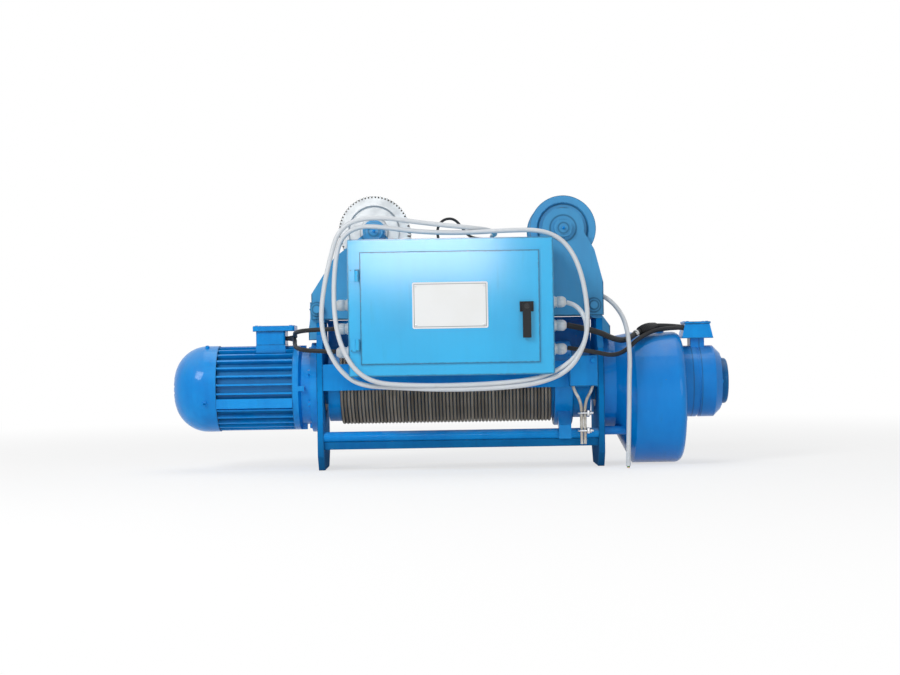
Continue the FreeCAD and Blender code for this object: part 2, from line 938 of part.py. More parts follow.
def rope_guide():
    """Split ring nut on the drum: its fork rides on the guide tube."""
    right, inner = "guide_left + guide_width", "rope_outer + free_gap"
    profile = [("guide_left", inner), ("guide_left", "bell_radius"), (right, "bell_radius"), (right, inner)]
    body = turned("rope_guide", profile)
    fork = new_sketch(body, "YZ_Plane", "guide_left + fork_inset")
    near = "-tie_offset + guide_tube_radius + free_gap / 2"
    far = "-tie_offset - guide_tube_radius - free_gap / 2"
    top = "free_gap + guide_tube_radius - guide_tube_drop"
    foot = "-guide_tube_drop - guide_tube_radius"
    root = "(rope_outer + guide_wall / 2)"
    outline = [
        (f"-{root} * cos(40)", f"-{root} * sin(40)"), (f"{far} - fork_wall", f"-{root}"),
        (f"{far} - fork_wall", foot), (far, foot), (far, top), (near, top), (near, foot),
        (f"{near} + fork_wall", foot), (f"{near} + fork_wall", top),
        (f"-{root} * cos(65)", f"-{root} * sin(65)"),
    ]
    pad(body, polygon(fork, outline), "guide_width - 2 * fork_inset")
    left_rim, right_rim = is_ring("bell_radius", "guide_left"), is_ring("bell_radius", right)
    round_edges(body, "fork_inset / 2",
                lambda edge, middle: left_rim(edge, middle) or right_rim(edge, middle))
    return body


# Gearbox

def bell(body, start, end, near_radius, far_radius, kind):
    """A slanting cone from a circle on the drum's axis to one on the case's middle."""
    near = circle(new_sketch(body, "YZ_Plane", start), 0, "case_drop", near_radius)
    far = circle(new_sketch(body, "YZ_Plane", end), 0, 0, far_radius)
    made = feature(body, kind, near)
    made.Sections = [far]
    far.Visibility = False
    doc.recompute()


def gearbox_case():
    """Bell from the drum's axis down to the lower middle of the gears, hollow, with two lugs."""
    cone, rim = "right_outer + neck_length", "case_split - case_rim"
    inside, throat = "case_radius - case_wall", "neck_radius - neck_wall"
    body = new_body("gearbox_case")
    pad(body, circle(new_sketch(body, "YZ_Plane", rim), 0, 0, "case_radius"), "case_rim")
    bell(body, cone, rim, "neck_radius", "case_radius", "AdditiveLoft")
    neck = circle(new_sketch(body, "YZ_Plane", "right_outer"), 0, "case_drop", "neck_radius")
    pad(body, neck, "neck_length")
    for side in (-1, 1):
        lug = new_sketch(body, "YZ_Plane", "right_outer")
        circle(lug, f"{side} * lug_offset", "-lug_drop", "lug_radius")
        pad(body, lug, "lug_length")
    pocket(body, circle(new_sketch(body, "YZ_Plane", rim), 0, 0, inside), "case_rim", backwards=True)
    bell(body, cone, rim, throat, inside, "SubtractiveLoft")
    chamber = circle(new_sketch(body, "YZ_Plane", "right_outer + case_wall"), 0, "case_drop", throat)
    pocket(body, chamber, "neck_length - case_wall", backwards=True)
    hole = circle(new_sketch(body, "YZ_Plane", "right_outer"), 0, "case_drop", "bearing_outer")
    pocket(body, hole, "case_wall", backwards=True)
    return place(body, z="case_height")


def gearbox_cover():
    inside, bottom = "case_radius - case_wall", "case_end - case_wall"
    profile = [
        ("case_split", inside), ("case_split", "case_radius"), ("case_end", "case_radius"),
        ("case_end", 0), (bottom, 0), (bottom, f"{inside} - case_round"),
        (f"{bottom} - case_round", inside),
    ]
    body = turned("gearbox_cover", profile, "case_height")
    hole = circle(new_sketch(body, "YZ_Plane", "case_end"), 0, "case_drop", "shaft_seat")
    pocket(body, hole, "case_wall")
    round_edges(body, "case_round", is_ring("case_radius", "case_end"))
    return body


def along_x(prism, left, height):
    """Lays a toothed bar along X, its first tooth pointing along Y."""
    prism.Placement = FreeCAD.Placement(Vector(), FreeCAD.Rotation(Vector(1, 1, 1), 120))
    return place(prism, left, 0, height)


def bored_gear(label, teeth, face, left, bore):
    bar = along_x(toothed_prism(label + "_teeth", teeth, "train_module", face), left, "axis_height")
    return without(label, bar, rod(label + "_bore", bore, face, (left, 0, "axis_height"), "x"))


def layshaft():
    wheel = toothed_prism("lay_gear", "train_gear", "train_module", "layshaft_face")
    small = toothed_prism("lay_pinion", "train_pinion", "train_module", "pinion_face")
    along_x(wheel, "input_place + (input_face - layshaft_face) / 2", "layshaft_height")
    along_x(small, "output_place + (output_face - pinion_face) / 2", "layshaft_height")
    start = "right_outer + case_wall + free_gap"
    length = "case_end - right_outer - 2 * (case_wall + free_gap)"
    shaft = rod("lay_shaft", "layshaft_radius", length, (start, 0, "layshaft_height"), "x")
    return joined("layshaft", [wheel, small, shaft])


def layshaft_bearings():
    bore, width = "layshaft_radius + running_gap", "small_bearing_width"
    ends = ("lay_left", "right_outer + case_wall"), ("lay_right", f"case_end - case_wall - {width}")
    return [
        ring(name, bore, "small_bearing", width, (start, 0, "layshaft_height"), "x")
        for name, start in ends
    ]


def breather_plug():
    across, top = "case_end - plug_inset", "case_height + case_radius"
    head = hexagon("plug_head", "plug_head_radius", "plug_head_height", (across, 0, top), "z")
    neck = rod("plug_neck", "plug_neck_radius", "plug_neck_height", (across, 0, top), "z")
    return joined("breather_plug", [head, neck])


# Brake

def brake_housing():
    inner = "brake_radius - brake_wall"
    cone = "brake_end - brake_chamfer"
    profile = [
        ("case_end", "disc_radius"), ("case_end", "brake_radius"), (cone, "brake_radius"),
        ("brake_end", "brake_radius - brake_chamfer"), ("brake_end", "magnet_bore"),
        ("brake_end - brake_wall", "magnet_bore"), ("brake_end - brake_wall", "magnet_radius + cover_inset"),
        (f"{cone} - brake_wall", inner), ("case_end + brake_wall", inner),
        ("case_end + brake_wall", "disc_radius"),
    ]
    body = turned("brake_housing", profile)
    left, right = "case_end + seam_place", "case_end + seam_place + seam_width"
    floor, outside = "brake_radius - seam_depth", "brake_radius + seam_depth"
    seam = new_sketch(body, "XZ_Plane")
    polygon(seam, [(left, floor), (left, outside), (right, outside), (right, floor)])
    groove = feature(body, "Groove", seam)
    groove.ReferenceAxis = (seam, ["H_Axis"])
    groove.Angle = 360
    doc.recompute()
    neck = new_sketch(body, "XY_Plane", inner)
    start = "brake_box_left + (brake_box_width - brake_neck_width) / 2"
    rectangle(neck, start, "-brake_box_depth / 3", f"{start} + brake_neck_width", "brake_box_depth / 3")
    pad(body, neck, "brake_wall + brake_neck_height")
    return body


def brake_ring(label, bore, outer, thickness, start):
    return ring(label, bore, outer, thickness, (start, 0, "axis_height"), "x")


def brake_rings():
    disc = "case_end + disc_place"
    armature = f"{disc} + disc_thickness"
    magnet = f"{armature} + armature_thickness + armature_gap"
    return [
        brake_ring("brake_disc", "thin_shaft_radius", "disc_radius", "disc_thickness", disc),
        brake_ring("brake_armature", "shaft_radius", "disc_radius + cover_inset",
                   "armature_thickness", armature),
        brake_ring("brake_magnet", "magnet_bore", "magnet_radius",
                   f"brake_end - brake_wall - ({magnet})", magnet),
    ]


def brake_cap():
    profile = [
        ("brake_end", 0), ("brake_end", "cap_radius"), ("half_length", "cap_radius"), ("half_length", 0),
    ]
    body = turned("brake_cap", profile)
    round_edges(body, "cap_round", is_ring("cap_radius", "half_length"))
    return body


def brake_terminal_box():
    body = new_body("brake_terminal_box")
    right, top = "brake_box_left + brake_box_width", "brake_box_height"
    profile = [
        ("brake_box_left", 0), (right, 0),
        (f"{right} - brake_box_taper", top), ("brake_box_left + brake_box_taper", top),
    ]
    sketch = polygon(new_sketch(body, "XZ_Plane"), profile)
    pad(body, sketch, "brake_box_depth", both_ways=True)
    return place(body, z="brake_box_floor")


def brake_terminal_lid():
    body = new_body("brake_terminal_lid")
    edge_in = "brake_box_taper - brake_lid_lap"
    half = "brake_box_depth / 2 + brake_lid_lap"
    sketch = new_sketch(body, "XY_Plane")
    rectangle(sketch, f"brake_box_left + {edge_in}", f"-({half})",
              f"brake_box_left + brake_box_width - ({edge_in})", half)
    pad(body, sketch, "brake_lid_height")
    top = value("brake_lid_height")
    round_edges(body, "brake_lid_height / 3", lambda edge, middle: abs(middle.z - top) < 0.1)
    return place(body, z="brake_box_floor + brake_box_height")


# Rope's fixed end on the front cover

def anchor_bracket():
    body = new_body("anchor_bracket")
    sketch = new_sketch(body, "YZ_Plane", "right_plate - anchor_width - cover_inset")
    bottom = "axis_height - cover_inset * 2"
    top = f"{bottom} + anchor_height + cover_inset * 2"
    back, front = "-cover_outer", "-plate_half - anchor_reach"
    profile = [
        (back, bottom), (back, top), (front, top), (front, bottom),
        (f"{front} + anchor_wall", bottom), (f"{front} + anchor_wall", f"{top} - anchor_wall"),
        (f"{back} - anchor_wall", f"{top} - anchor_wall"), (f"{back} - anchor_wall", bottom),
    ]
    pad(body, polygon(sketch, profile), "anchor_width")
    return body


def anchor_pin():
    front = "-plate_half - anchor_reach + anchor_wall"
    start = ("anchor_middle", front, "axis_height + anchor_pin_rise")
    return rod("anchor_pin", "anchor_pin_radius", f"-cover_outer - anchor_wall - ({front})", start, "y")


def rope_dead_end():
    """The rope's fixed end: over the pin, both legs side by side in the clips."""
    middle, depth, height = value("anchor_middle"), value("rope_plane"), value("axis_height")
    radius = value("rope_diameter") / 2
    wide = value("anchor_pin_radius + free_gap * 2") + radius
    top = value("anchor_pin_rise + anchor_pin_radius + free_gap * 2") + radius
    upper, lower = value("upper_clip_drop"), value("lower_clip_drop")
    legs = [(-radius, -lower - 24), (-radius - 0.4, -upper - 14), (-radius, 32 - upper),
            (-wide, -6), (-wide, top)]
    left = [(middle + x, depth, height + z) for x, z in legs]
    right = [(middle - x, depth, height + z) for x, z in reversed(legs)]
    return shaped("rope_dead_end", cord("rope_dead_end", left + right, radius))


def rope_clip(name, drop):
    """Saddle round both legs of the rope, with the two nuts of its bow."""
    bottom = f"axis_height - {drop}"
    left, right = "anchor_middle - clip_width / 2", "anchor_middle + clip_width / 2"
    saddle = block(name + "_saddle", (left, "rope_plane - clip_depth / 2", bottom),
                   (right, "rope_plane + clip_depth / 2", f"{bottom} + clip_height"))
    reach = "rope_diameter + free_gap"
    half, over = "rope_diameter / 2", "cover_inset"
    gap = block(name + "_gap",
                (f"anchor_middle - ({reach})", f"rope_plane - {half}", f"{bottom} - {over}"),
                (f"anchor_middle + {reach}", f"rope_plane + {half}", f"{bottom} + clip_height + {over}"))
    pieces = [without(name + "_grip", saddle, gap)]
    for side in (-1, 1):
        seat = (right, f"rope_plane + {side} * clip_depth / 3", f"{bottom} + clip_height / 2")
        pieces.append(hexagon(f"{name}_nut_{side + 1}", "clip_bow * 2", "clip_bow * 2", seat, "x"))
        pieces.append(rod(f"{name}_bow_{side + 1}", "clip_bow", "clip_bow * 4", seat, "x"))
    return joined(name, pieces)


def rope_clips():
    return group("rope_clips", [rope_clip("upper_clip", "upper_clip_drop"),
                                rope_clip("lower_clip", "lower_clip_drop")])


# Trolley

def side_plate(label, side):
    body = new_body(label)
    near = "-side_outer" if side < 0 else "side_inner"
    sketch = new_sketch(body, "XZ_Plane", f"-({near})")
    right_arm, left_arm = "(right_ear_radius - 1)", "(left_ear_radius - 1)"
    shoulder, valley = "axle_height - ear_gap", "axle_height - 2.5 * ear_gap"
    outline = [
        ("side_left", "side_bottom"), ("side_right", "side_bottom"),
        ("side_right", "side_bottom + right_slope_foot"),
        ("right_axle + right_slope_reach", "axle_height - right_slope_drop"),
        (f"right_axle + {right_arm}", shoulder), (f"right_axle - {right_arm}", shoulder),
        ("right_axle - right_ear_radius - ear_gap", valley),
        ("left_axle + left_ear_radius + ear_gap", valley), (f"left_axle + {left_arm}", shoulder),
        (f"left_axle - {left_arm}", shoulder),
        ("left_axle - left_slope_reach", "axle_height - left_slope_drop"),
        ("side_left", "side_bottom + left_slope_foot"),
    ]
    pad(body, polygon(sketch, outline), "side_thickness", backwards=True)
    for end in ("left", "right"):
        ear = new_sketch(body, "XZ_Plane", f"-({near})")
        circle(ear, f"{end}_axle", "axle_height", f"{end}_ear_radius")
        pad(body, ear, "side_thickness", backwards=True)
    holes = new_sketch(body, "XZ_Plane", f"-({near})")
    for bolt in ("left_bolt", "right_bolt"):
        circle(holes, bolt, "bolt_height", "bolt_radius")
    for axle in ("left_axle", "right_axle"):
        circle(holes, axle, "axle_height", "axle_radius")
    circle(holes, "left_axle", "pinion_height", "cross_shaft_radius + running_gap")
    pocket(body, holes, "side_thickness")
    return body


def wheel_blank(name, side, rim):
    """Flanged trolley wheel: its broad rim outside, its tread on the beam's flange."""
    body = new_body(name)
    bore = "axle_radius + running_gap"
    recess = "wheel_face - face_recess"
    inner_edge = "wheel_face - rim_width"
    tread = f"{inner_edge} - flange_slope"
    back = "wheel_face - wheel_width"
    profile = [
        (bore, "wheel_face"), ("hub_radius", "wheel_face"), ("hub_radius + 4", recess),
        ("tread_radius - 9", recess), ("tread_radius - 5", "wheel_face"), (rim, "wheel_face"),
        (rim, inner_edge), ("tread_radius + flange_slope", tread), ("tread_radius", tread),
        ("tread_radius - 1", back), ("hub_radius", back), (bore, back),
    ]
    sketch = new_sketch(body, "XY_Plane")
    polygon(sketch, [(x, f"{side} * ({y})") for x, y in profile])
    revolve(body, sketch, "V_Axis")
    return body


def idler_wheel(label, side):
    return place(wheel_blank(label, side, "idler_rim_radius"), "right_axle", 0, "axle_height")


def across_beam(prism, start, height):
    """Lays a toothed bar along Y at the left axle."""
    prism.Placement = FreeCAD.Placement(Vector(), DIRECTIONS["y"])
    return place(prism, "left_axle", start, height)


def drive_wheel(label, side):
    blank = place(wheel_blank(label + "_blank", side, "wheel_tip_radius"), "left_axle", 0, "axle_height")
    prism = toothed_prism(label + "_teeth", "wheel_teeth", "wheel_module", "2 * side_inner")
    made = doc.addObject("Part::Common", label)
    made.Label = label
    made.Base = blank
    made.Tool = across_beam(prism, "-side_inner", "axle_height")
    return made


def wheel_axles():
    axles = []
    reach = "side_outer + axle_head + cover_inset"
    inside = "wheel_face - wheel_width"
    for across in ("left_axle", "right_axle"):
        for side, start, head in (("front", f"-({reach})", "-side_outer - axle_head"),
                                  ("rear", inside, "side_outer")):
            name = f"{side}_{across}"
            pin = rod(name + "_pin", "axle_radius", f"{reach} - ({inside})",
                      (across, start, "axle_height"), "y")
            cap = rod(name + "_head", "axle_head_radius", "axle_head", (across, head, "axle_height"), "y")
            axles.append(joined(name, [pin, cap]))
    return group("wheel_axles", axles)


def pinion_shaft():
    length = "2 * side_outer + gearhead_length / 2"
    start = ("left_axle", "-side_outer", "pinion_height")
    pieces = [rod("cross_shaft", "cross_shaft_radius", length, start, "y")]
    for name, start in (("front_pinion", "-wheel_face"), ("rear_pinion", "wheel_face - rim_width")):
        prism = toothed_prism(name, "pinion_teeth", "wheel_module", "rim_width", 0.5)
        pieces.append(across_beam(prism, start, "pinion_height"))
    return joined("pinion_shaft", pieces)


def travel_gearhead():
    body = new_body("travel_gearhead")
    sketch = circle(new_sketch(body, "XZ_Plane", "-side_outer"), 0, 0, "gearhead_radius")
    pad(body, sketch, "gearhead_length", backwards=True)
    foot = new_sketch(body, "XZ_Plane", "-side_outer")
    rectangle(foot, "-gearhead_foot", "-gearhead_foot", "gearhead_foot", "gearhead_foot")
    pad(body, foot, "gearhead_foot_thickness", backwards=True)
    bore = new_sketch(body, "XZ_Plane", "-side_outer")
    circle(bore, 0, 0, "cross_shaft_radius + running_gap")
    pocket(body, bore, "gearhead_length / 2 + face_recess")
    end = value("side_outer + gearhead_length")
    round_edges(body, "gearhead_foot_thickness / 2", lambda edge, middle: abs(middle.y - end) < 0.1)
    return place(body, "left_axle", 0, "pinion_height")


def travel_motor():
    body = new_body("travel_motor")
    start = "(side_outer + gearhead_length)"
    step = f"{start} + gearhead_foot_thickness"
    cowl = "half_depth - travel_cowl"
    profile = [
        (0, start), ("travel_radius", start), ("travel_radius", step), ("travel_core", f"{step} + 4"),
        ("travel_core", f"{cowl} - 2"), ("travel_radius", cowl),
        ("travel_radius", "half_depth"), (0, "half_depth"),
    ]
    revolve(body, polygon(new_sketch(body, "XY_Plane"), profile), "V_Axis")
    fin = new_sketch(body, "XZ_Plane", f"-({step})")
    rectangle(fin, -1.5, "travel_core - 2", 1.5, "travel_radius - 1")
    repeat_round(body, pad(body, fin, f"{cowl} - ({step})", backwards=True), fin, "travel_fins")
    end = value("half_depth")
    round_edges(body, "gearhead_foot_thickness", lambda edge, middle: abs(middle.y - end) < 0.1)
    return place(body, "left_axle", 0, "pinion_height")


# Control box

def control_box():
    body = new_body("control_box")
    sketch = new_sketch(body, "XZ_Plane", "-box_front")
    rectangle(sketch, "box_left", "box_bottom", "box_right", "box_top")
    pad(body, sketch, "box_back - box_front", backwards=True)
    inside = new_sketch(body, "XZ_Plane", "-box_front - box_wall")
    rectangle(inside, "box_left + box_wall", "box_bottom + box_wall",
              "box_right - box_wall", "box_top - box_wall")
    pocket(body, inside, "box_back - box_front - 2 * box_wall")
    opening = new_sketch(body, "XZ_Plane", "-box_front")
    rectangle(opening, "door_left + door_lap", "door_bottom + door_lap",
              "door_right - door_lap", "door_top - door_lap")
    pocket(body, opening, "2 * box_wall")
    middle_y = value("box_front + box_back") / 2
    sides = value("box_left"), value("box_right")

    def long_corner(edge, middle):
        return abs(middle.y - middle_y) < 1 and min(abs(middle.x - side) for side in sides) < 0.1

    round_edges(body, "box_round", long_corner)
    return body


def control_door():
    body = new_body("control_door")
    sketch = new_sketch(body, "XZ_Plane", "-box_front")
    rectangle(sketch, "door_left", "door_bottom", "door_right", "door_top")
    pad(body, sketch, "door_thickness")
    front = value("door_face")
    round_edges(body, "door_thickness / 3", lambda edge, middle: abs(middle.y - front) < 0.1)
    return body


def door_hinges():
    hinges = []
    for name, height in (("lower_hinge", "door_bottom + hinge_inset"),
                         ("upper_hinge", "door_top - hinge_inset - hinge_room")):
        pin = rod(name + "_pin", "hinge_radius", "hinge_length", ("hinge_line", "hinge_depth", height), "z")
        leaf = block(name + "_leaf", ("hinge_line - 3 * hinge_radius", "hinge_depth + 1", height),
                     ("hinge_line + 2", "box_front", f"{height} + hinge_length"))
        hinges.append(joined(name, [pin, leaf]))
    return group("door_hinges", hinges)


def handle_base():
    half = "lever_width / 2 + 6"
    low = (f"handle_across - ({half})", "door_face - handle_base", "handle_height - handle_base_half")
    high = (f"handle_across + {half}", "door_face", "handle_height + handle_base_half")
    return block("handle_base", low, high)


def door_handle():
    back, front = "door_face - handle_base", "-half_depth"
    half = "lever_width / 2"
    lever = block("handle_lever", (f"handle_across - {half}", front, "handle_height - lever_length"),
                  (f"handle_across + {half}", back, "handle_height"))
    hub = rod("handle_hub", "lever_width / 2 + 1", f"{back} - ({front})",
              ("handle_across", front, "handle_height"), "y")
    return joined("door_handle", [lever, hub])


def mounting_plate():
    inset = "gear_plate_inset"
    return block("mounting_plate", (f"box_left + {inset}", "gear_face", f"box_bottom + {inset}"),
                 (f"box_right - {inset}", "gear_face + gear_plate", f"box_top - {inset}"))


def gear_block(name, left, right, depth, rise, height):
    """One device of the control gear, in front of the mounting plate."""
    bottom = f"box_bottom + {rise}"
    low = (left, f"gear_face - {depth}", bottom)
    return block(name, low, (right, "gear_face", f"{bottom} + {height}"))


def control_gear():
    left, right = "box_left + gear_inset", "box_right - gear_inset"
    pieces = []
    for i in range(4):
        near = f"{left} + {i} * contactor_spacing"
        pieces.append(gear_block(f"contactor_{i}", near, f"{near} + contactor_width",
                                 "contactor_depth", "contactor_rise", "contactor_height"))
    pieces.append(gear_block("control_transformer", f"{right} - transformer_size", right,
                             "transformer_depth", "transformer_rise", "transformer_size"))
    pieces.append(gear_block("terminal_strip", left, right, "strip_depth", "strip_rise", "strip_height"))
    return group("control_gear", pieces)


def gland_height(row):
    return f"gland_top - {row} * gland_spacing"


def cable_glands():
    glands = []
    for side, edge, way in (("left", "box_left", "-x"), ("right", "box_right", "x")):
        for row in range(3):
            name, seat = f"{side}_gland_{row}", (edge, "gland_depth", gland_height(row))
            nut = hexagon(name + "_nut", "gland_nut_radius", "gland_nut", seat, way)
            dome = rod(name + "_dome", "gland_radius", "gland_length", seat, way)
            glands.append(joined(name, [nut, dome]))
    return group("cable_glands", glands)


def box_rails():
    rails = []
    for name, rise in (("lower_rail", "lower_rail_rise"), ("upper_rail", "upper_rail_rise")):
        low = ("left_axle - rail_left", "box_back", f"box_bottom + {rise}")
        high = ("right_axle - rail_right", "-side_outer", f"box_bottom + {rise} + rail_height")
        rails.append(block(name, low, high))
    return group("box_rails", rails)


# Cables

def motor_leads():
    """Two leads from the left glands round the hanger into the motor's terminal box."""
    start, depth = value("box_left - gland_length"), value("gland_depth")
    wall, entry = value("terminal_right"), value("terminal_floor + terminal_height / 2 - 1")
    past = value("left_plate - hanger_leg") - 14
    solids = []
    for row, across in ((1, 0), (2, -24)):
        height = value(gland_height(row))
        rise = entry - height
        points = [
            (start, depth, height),
            (start - 64, depth + 6, height + 0.05 * rise),
            (past - 10, depth + 66, height + 0.3 * rise),
            (past - 2, -88 + across / 2, height + 0.7 * rise),
            (past - 1, across - 24, entry + 1),
            (wall, across, entry),
        ]
        solids.append(cord(f"motor_lead_{row}", points, value("lead_radius")))
    return shaped("motor_leads", Part.makeCompound(solids))


def brake_leads():
    """A lead and a conduit from the right glands over the gearbox into the brake's terminal box."""
    start, depth = value("box_right + gland_length"), value("gland_depth")
    entry, end = value("brake_box_floor") + 25, value("brake_box_left") + 9
    top, case = value("case_height + case_radius"), value("right_outer")
    conduit = [
        (start, depth, value(gland_height(1))), (start + 62, depth + 2, top + 6),
        (case + 20, depth + 50, top - 16), (case + 52, depth + 106, top - 18),
        (case + 86, depth + 164, top + 4), (case + 130, depth + 204, top + 17), (end, -12, entry),
    ]
    lead = [
        (start, depth, value(gland_height(2))), (start + 60, depth + 2, top - 42),
        (case + 14, depth + 46, top - 52), (case + 48, depth + 104, top - 42),
        (case + 84, depth + 142, top - 12), (case + 132, depth + 186, top + 9), (end, -32, entry),
    ]
    solids = [
        cord("brake_conduit", conduit, value("conduit_radius")),
        cord("brake_lead", lead, value("lead_radius")),
    ]
    return shaped("brake_leads", Part.makeCompound(solids))


def pendant_coil():
    """Outer shape of the loose turns that hang round the control box."""
    body = new_body("pendant_coil")
    left, right = "box_left - coil_left", "box_right + coil_right"
    inner_left, inner_right = f"{left} + coil_side_width", f"{right} - coil_side_width - 2"
    sketch = new_sketch(body, "XZ_Plane", "-box_front - coil_inset")
    rectangle(sketch, left, "box_bottom - coil_bottom", right, "box_top + coil_top")
    pad(body, sketch, "coil_depth", backwards=True)
    inside = new_sketch(body, "XZ_Plane", "-box_front - coil_inset")
    rectangle(inside, inner_left, "box_bottom - 3", inner_right, "box_top + 3")
    pocket(body, inside, "coil_depth")
    middle_y = value("box_front + coil_inset + coil_depth / 2")

    def corners_at(*places):
        def test(edge, middle):
            return abs(middle.y - middle_y) < 1 and min(abs(middle.x - value(p)) for p in places) < 1
        return test

    round_edges(body, "coil_round", corners_at(left, right))
    round_edges(body, "coil_inset", corners_at(inner_left, inner_right))
    return body


def pendant_tail():
    """The cable's free end: over the box, between the side plates and down to the floor."""
    top, right = value("box_top"), value("side_right")
    back = value("box_front + coil_inset + coil_depth")
    between, front = -value("side_inner") + 21, -value("case_radius") - 24
    hang = right + 49
    points = [
        (100, back, top + 24), (101, -180, top + 32), (103, -104, top + 34), (106, between + 8, top + 2),
        (126, between + 6, top - 62), (190, between + 2, top - 90), (260, between, top - 99),
        (right - 23, between - 1, top - 104), (right + 27, between - 6, top - 120),
        (right + 46, front + 60, top - 154), (hang, front + 14, top - 202), (hang, front, top - 262),
        (hang - 1, front, top - 322), (hang, front, top - 382), (hang - 1, front, top - 442),
        (hang - 1, front, 6),
    ]
    return shaped("pendant_tail", cord("pendant_tail", points, value("cable_radius")))


def build():
    fill_sheet()
    return [
        end_plate("left_end_plate", "left_plate"),
        end_plate("right_end_plate", "right_plate"),
        group("drum_covers", [cover_channel("front_cover", -1, "cover_height"),
                              cover_channel("rear_cover", 1, "rear_cover_height")]),
        guide_tube(),
        group("tie_bars", [tie_bar("front_tie_bar", -1), tie_bar("rear_tie_bar", 1)]),
        hangers(),
        suspension_bolts(),
        fan_cowl(),
        motor_housing(),
        end_shield(),
        terminal_box(),
        terminal_lid(),
        core_ring("stator_core", "rotor_radius + rotor_gap", "motor_bore"),
        core_ring("rotor_core", "shaft_radius", "rotor_radius"),
        motor_shaft(),
        cooling_fan(),
        drum_shell(),
        drum_hubs(),
        rope_winding(),
        group("bearings", drum_bearings() + shaft_bearings() + layshaft_bearings()),
        rope_guide(),
        gearbox_case(),
        gearbox_cover(),
        bored_gear("input_pinion", "train_pinion", "input_face", "input_place", "thin_shaft_radius"),
        bored_gear("output_gear", "train_gear", "output_face", "output_place", "journal_radius"),
        layshaft(),
        breather_plug(),
        brake_housing(),
        *brake_rings(),
        brake_cap(),
        brake_terminal_box(),
        brake_terminal_lid(),
        group("rope_anchor", [anchor_bracket(), anchor_pin()]),
        rope_dead_end(),
        rope_clips(),
        side_plate("front_side_plate", -1),
        side_plate("rear_side_plate", 1),
        drive_wheel("front_drive_wheel", -1),
        drive_wheel("rear_drive_wheel", 1),
        idler_wheel("front_idler_wheel", -1),
        idler_wheel("rear_idler_wheel", 1),
        wheel_axles(),
        pinion_shaft(),
        travel_gearhead(),
        travel_motor(),
        control_box(),
        control_door(),
        door_hinges(),
        handle_base(),
        door_handle(),
        mounting_plate(),
        control_gear(),
        cable_glands(),
        box_rails(),
        motor_leads(),
        brake_leads(),
        pendant_coil(),
        pendant_tail(),
    ]


def write(pieces):
    doc.recompute()
    broken = [thing.Label for thing in doc.Objects if {"Invalid", "Error"} & set(thing.State)]
    if broken:
        raise RuntimeError("broken features: " + ", ".join(broken))
    os.makedirs("parts", exist_ok=True)
    for piece in pieces:
        shape = piece.Shape
        if shape.isNull() or not shape.isValid() or not shape.Solids:
            raise RuntimeError(f"{piece.Label} has no sound solid")
        shape.exportStep(os.path.join("parts", piece.Label + ".step"))
    print(len(pieces), "nodes written")


write(build())
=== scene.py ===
import math

import bmesh
import bpy
from mathutils import Matrix, Vector


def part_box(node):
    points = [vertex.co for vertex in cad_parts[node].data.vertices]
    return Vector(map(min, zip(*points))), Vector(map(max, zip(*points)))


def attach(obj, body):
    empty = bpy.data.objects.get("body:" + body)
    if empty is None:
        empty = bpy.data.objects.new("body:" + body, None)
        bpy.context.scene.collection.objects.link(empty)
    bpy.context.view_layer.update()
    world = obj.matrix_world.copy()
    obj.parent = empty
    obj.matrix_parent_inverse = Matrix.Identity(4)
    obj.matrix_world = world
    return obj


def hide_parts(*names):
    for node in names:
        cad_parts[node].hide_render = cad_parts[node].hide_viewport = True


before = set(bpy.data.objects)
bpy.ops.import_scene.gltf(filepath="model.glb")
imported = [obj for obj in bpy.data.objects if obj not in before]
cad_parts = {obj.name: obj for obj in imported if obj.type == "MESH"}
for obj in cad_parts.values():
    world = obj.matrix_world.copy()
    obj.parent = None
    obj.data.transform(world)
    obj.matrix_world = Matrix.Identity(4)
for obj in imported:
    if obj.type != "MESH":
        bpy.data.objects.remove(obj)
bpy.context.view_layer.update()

bl_info = {
    "name": "Rope Hoist Finish",
    "version": (1, 0, 0),
    "blender": (4, 5, 0),
    "location": "View3D > Sidebar > Hoist",
    "description": "Paint, cables, rope and small fittings of an electric wire rope hoist",
    "category": "Object",
}

MM = 0.001
TURN = 2 * math.pi
ROPE_DIAMETER = 7.5 * MM


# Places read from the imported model

def corners_of(node):
    """The low and the high corner of a node's box."""
    return [Vector(corner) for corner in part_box(node)]


def low_of(node):
    return corners_of(node)[0]


def high_of(node):
    return corners_of(node)[1]


def middle_of(node):
    return (low_of(node) + high_of(node)) / 2


def ends_of(node):
    """The places along X where a node begins and ends."""
    return low_of(node).x, high_of(node).x


AXIS = middle_of("fan_cowl")
LEFT_AXLE = middle_of("front_drive_wheel")
RIGHT_AXLE = middle_of("front_idler_wheel")
ROPE_RADIUS = high_of("rope_winding").z - AXIS.z - ROPE_DIAMETER / 2
ROPE_START = low_of("rope_winding").x + ROPE_DIAMETER / 2
BOX_LOW, BOX_HIGH = corners_of("control_box")
DOOR_LOW, DOOR_HIGH = corners_of("control_door")
DOOR_MIDDLE = middle_of("control_door")


# Sizes and colours that a user would change

def length_setting(name, description, default):
    return bpy.props.FloatProperty(
        name=name, description=description, default=default, unit="LENGTH")


def colour_setting(name, description, default):
    return bpy.props.FloatVectorProperty(
        name=name, description=description, default=default, subtype="COLOR")


class HoistSizes(bpy.types.PropertyGroup):
    cable_radius: length_setting("Cable radius", "Radius of the grey pendant cable", 5.2 * MM)
    lead_radius: length_setting("Lead radius", "Radius of the black leads", 5.0 * MM)
    conduit_radius: length_setting("Conduit radius", "Radius of the conduit over the gearbox", 6.5 * MM)
    rope_diameter: length_setting("Rope diameter", "Diameter of the wire rope", ROPE_DIAMETER)
    rope_pitch: length_setting("Rope pitch", "Distance between neighbouring turns", 8.1 * MM)
    rope_turns: bpy.props.IntProperty(
        name="Rope turns", description="Turns of rope on the drum", default=60)


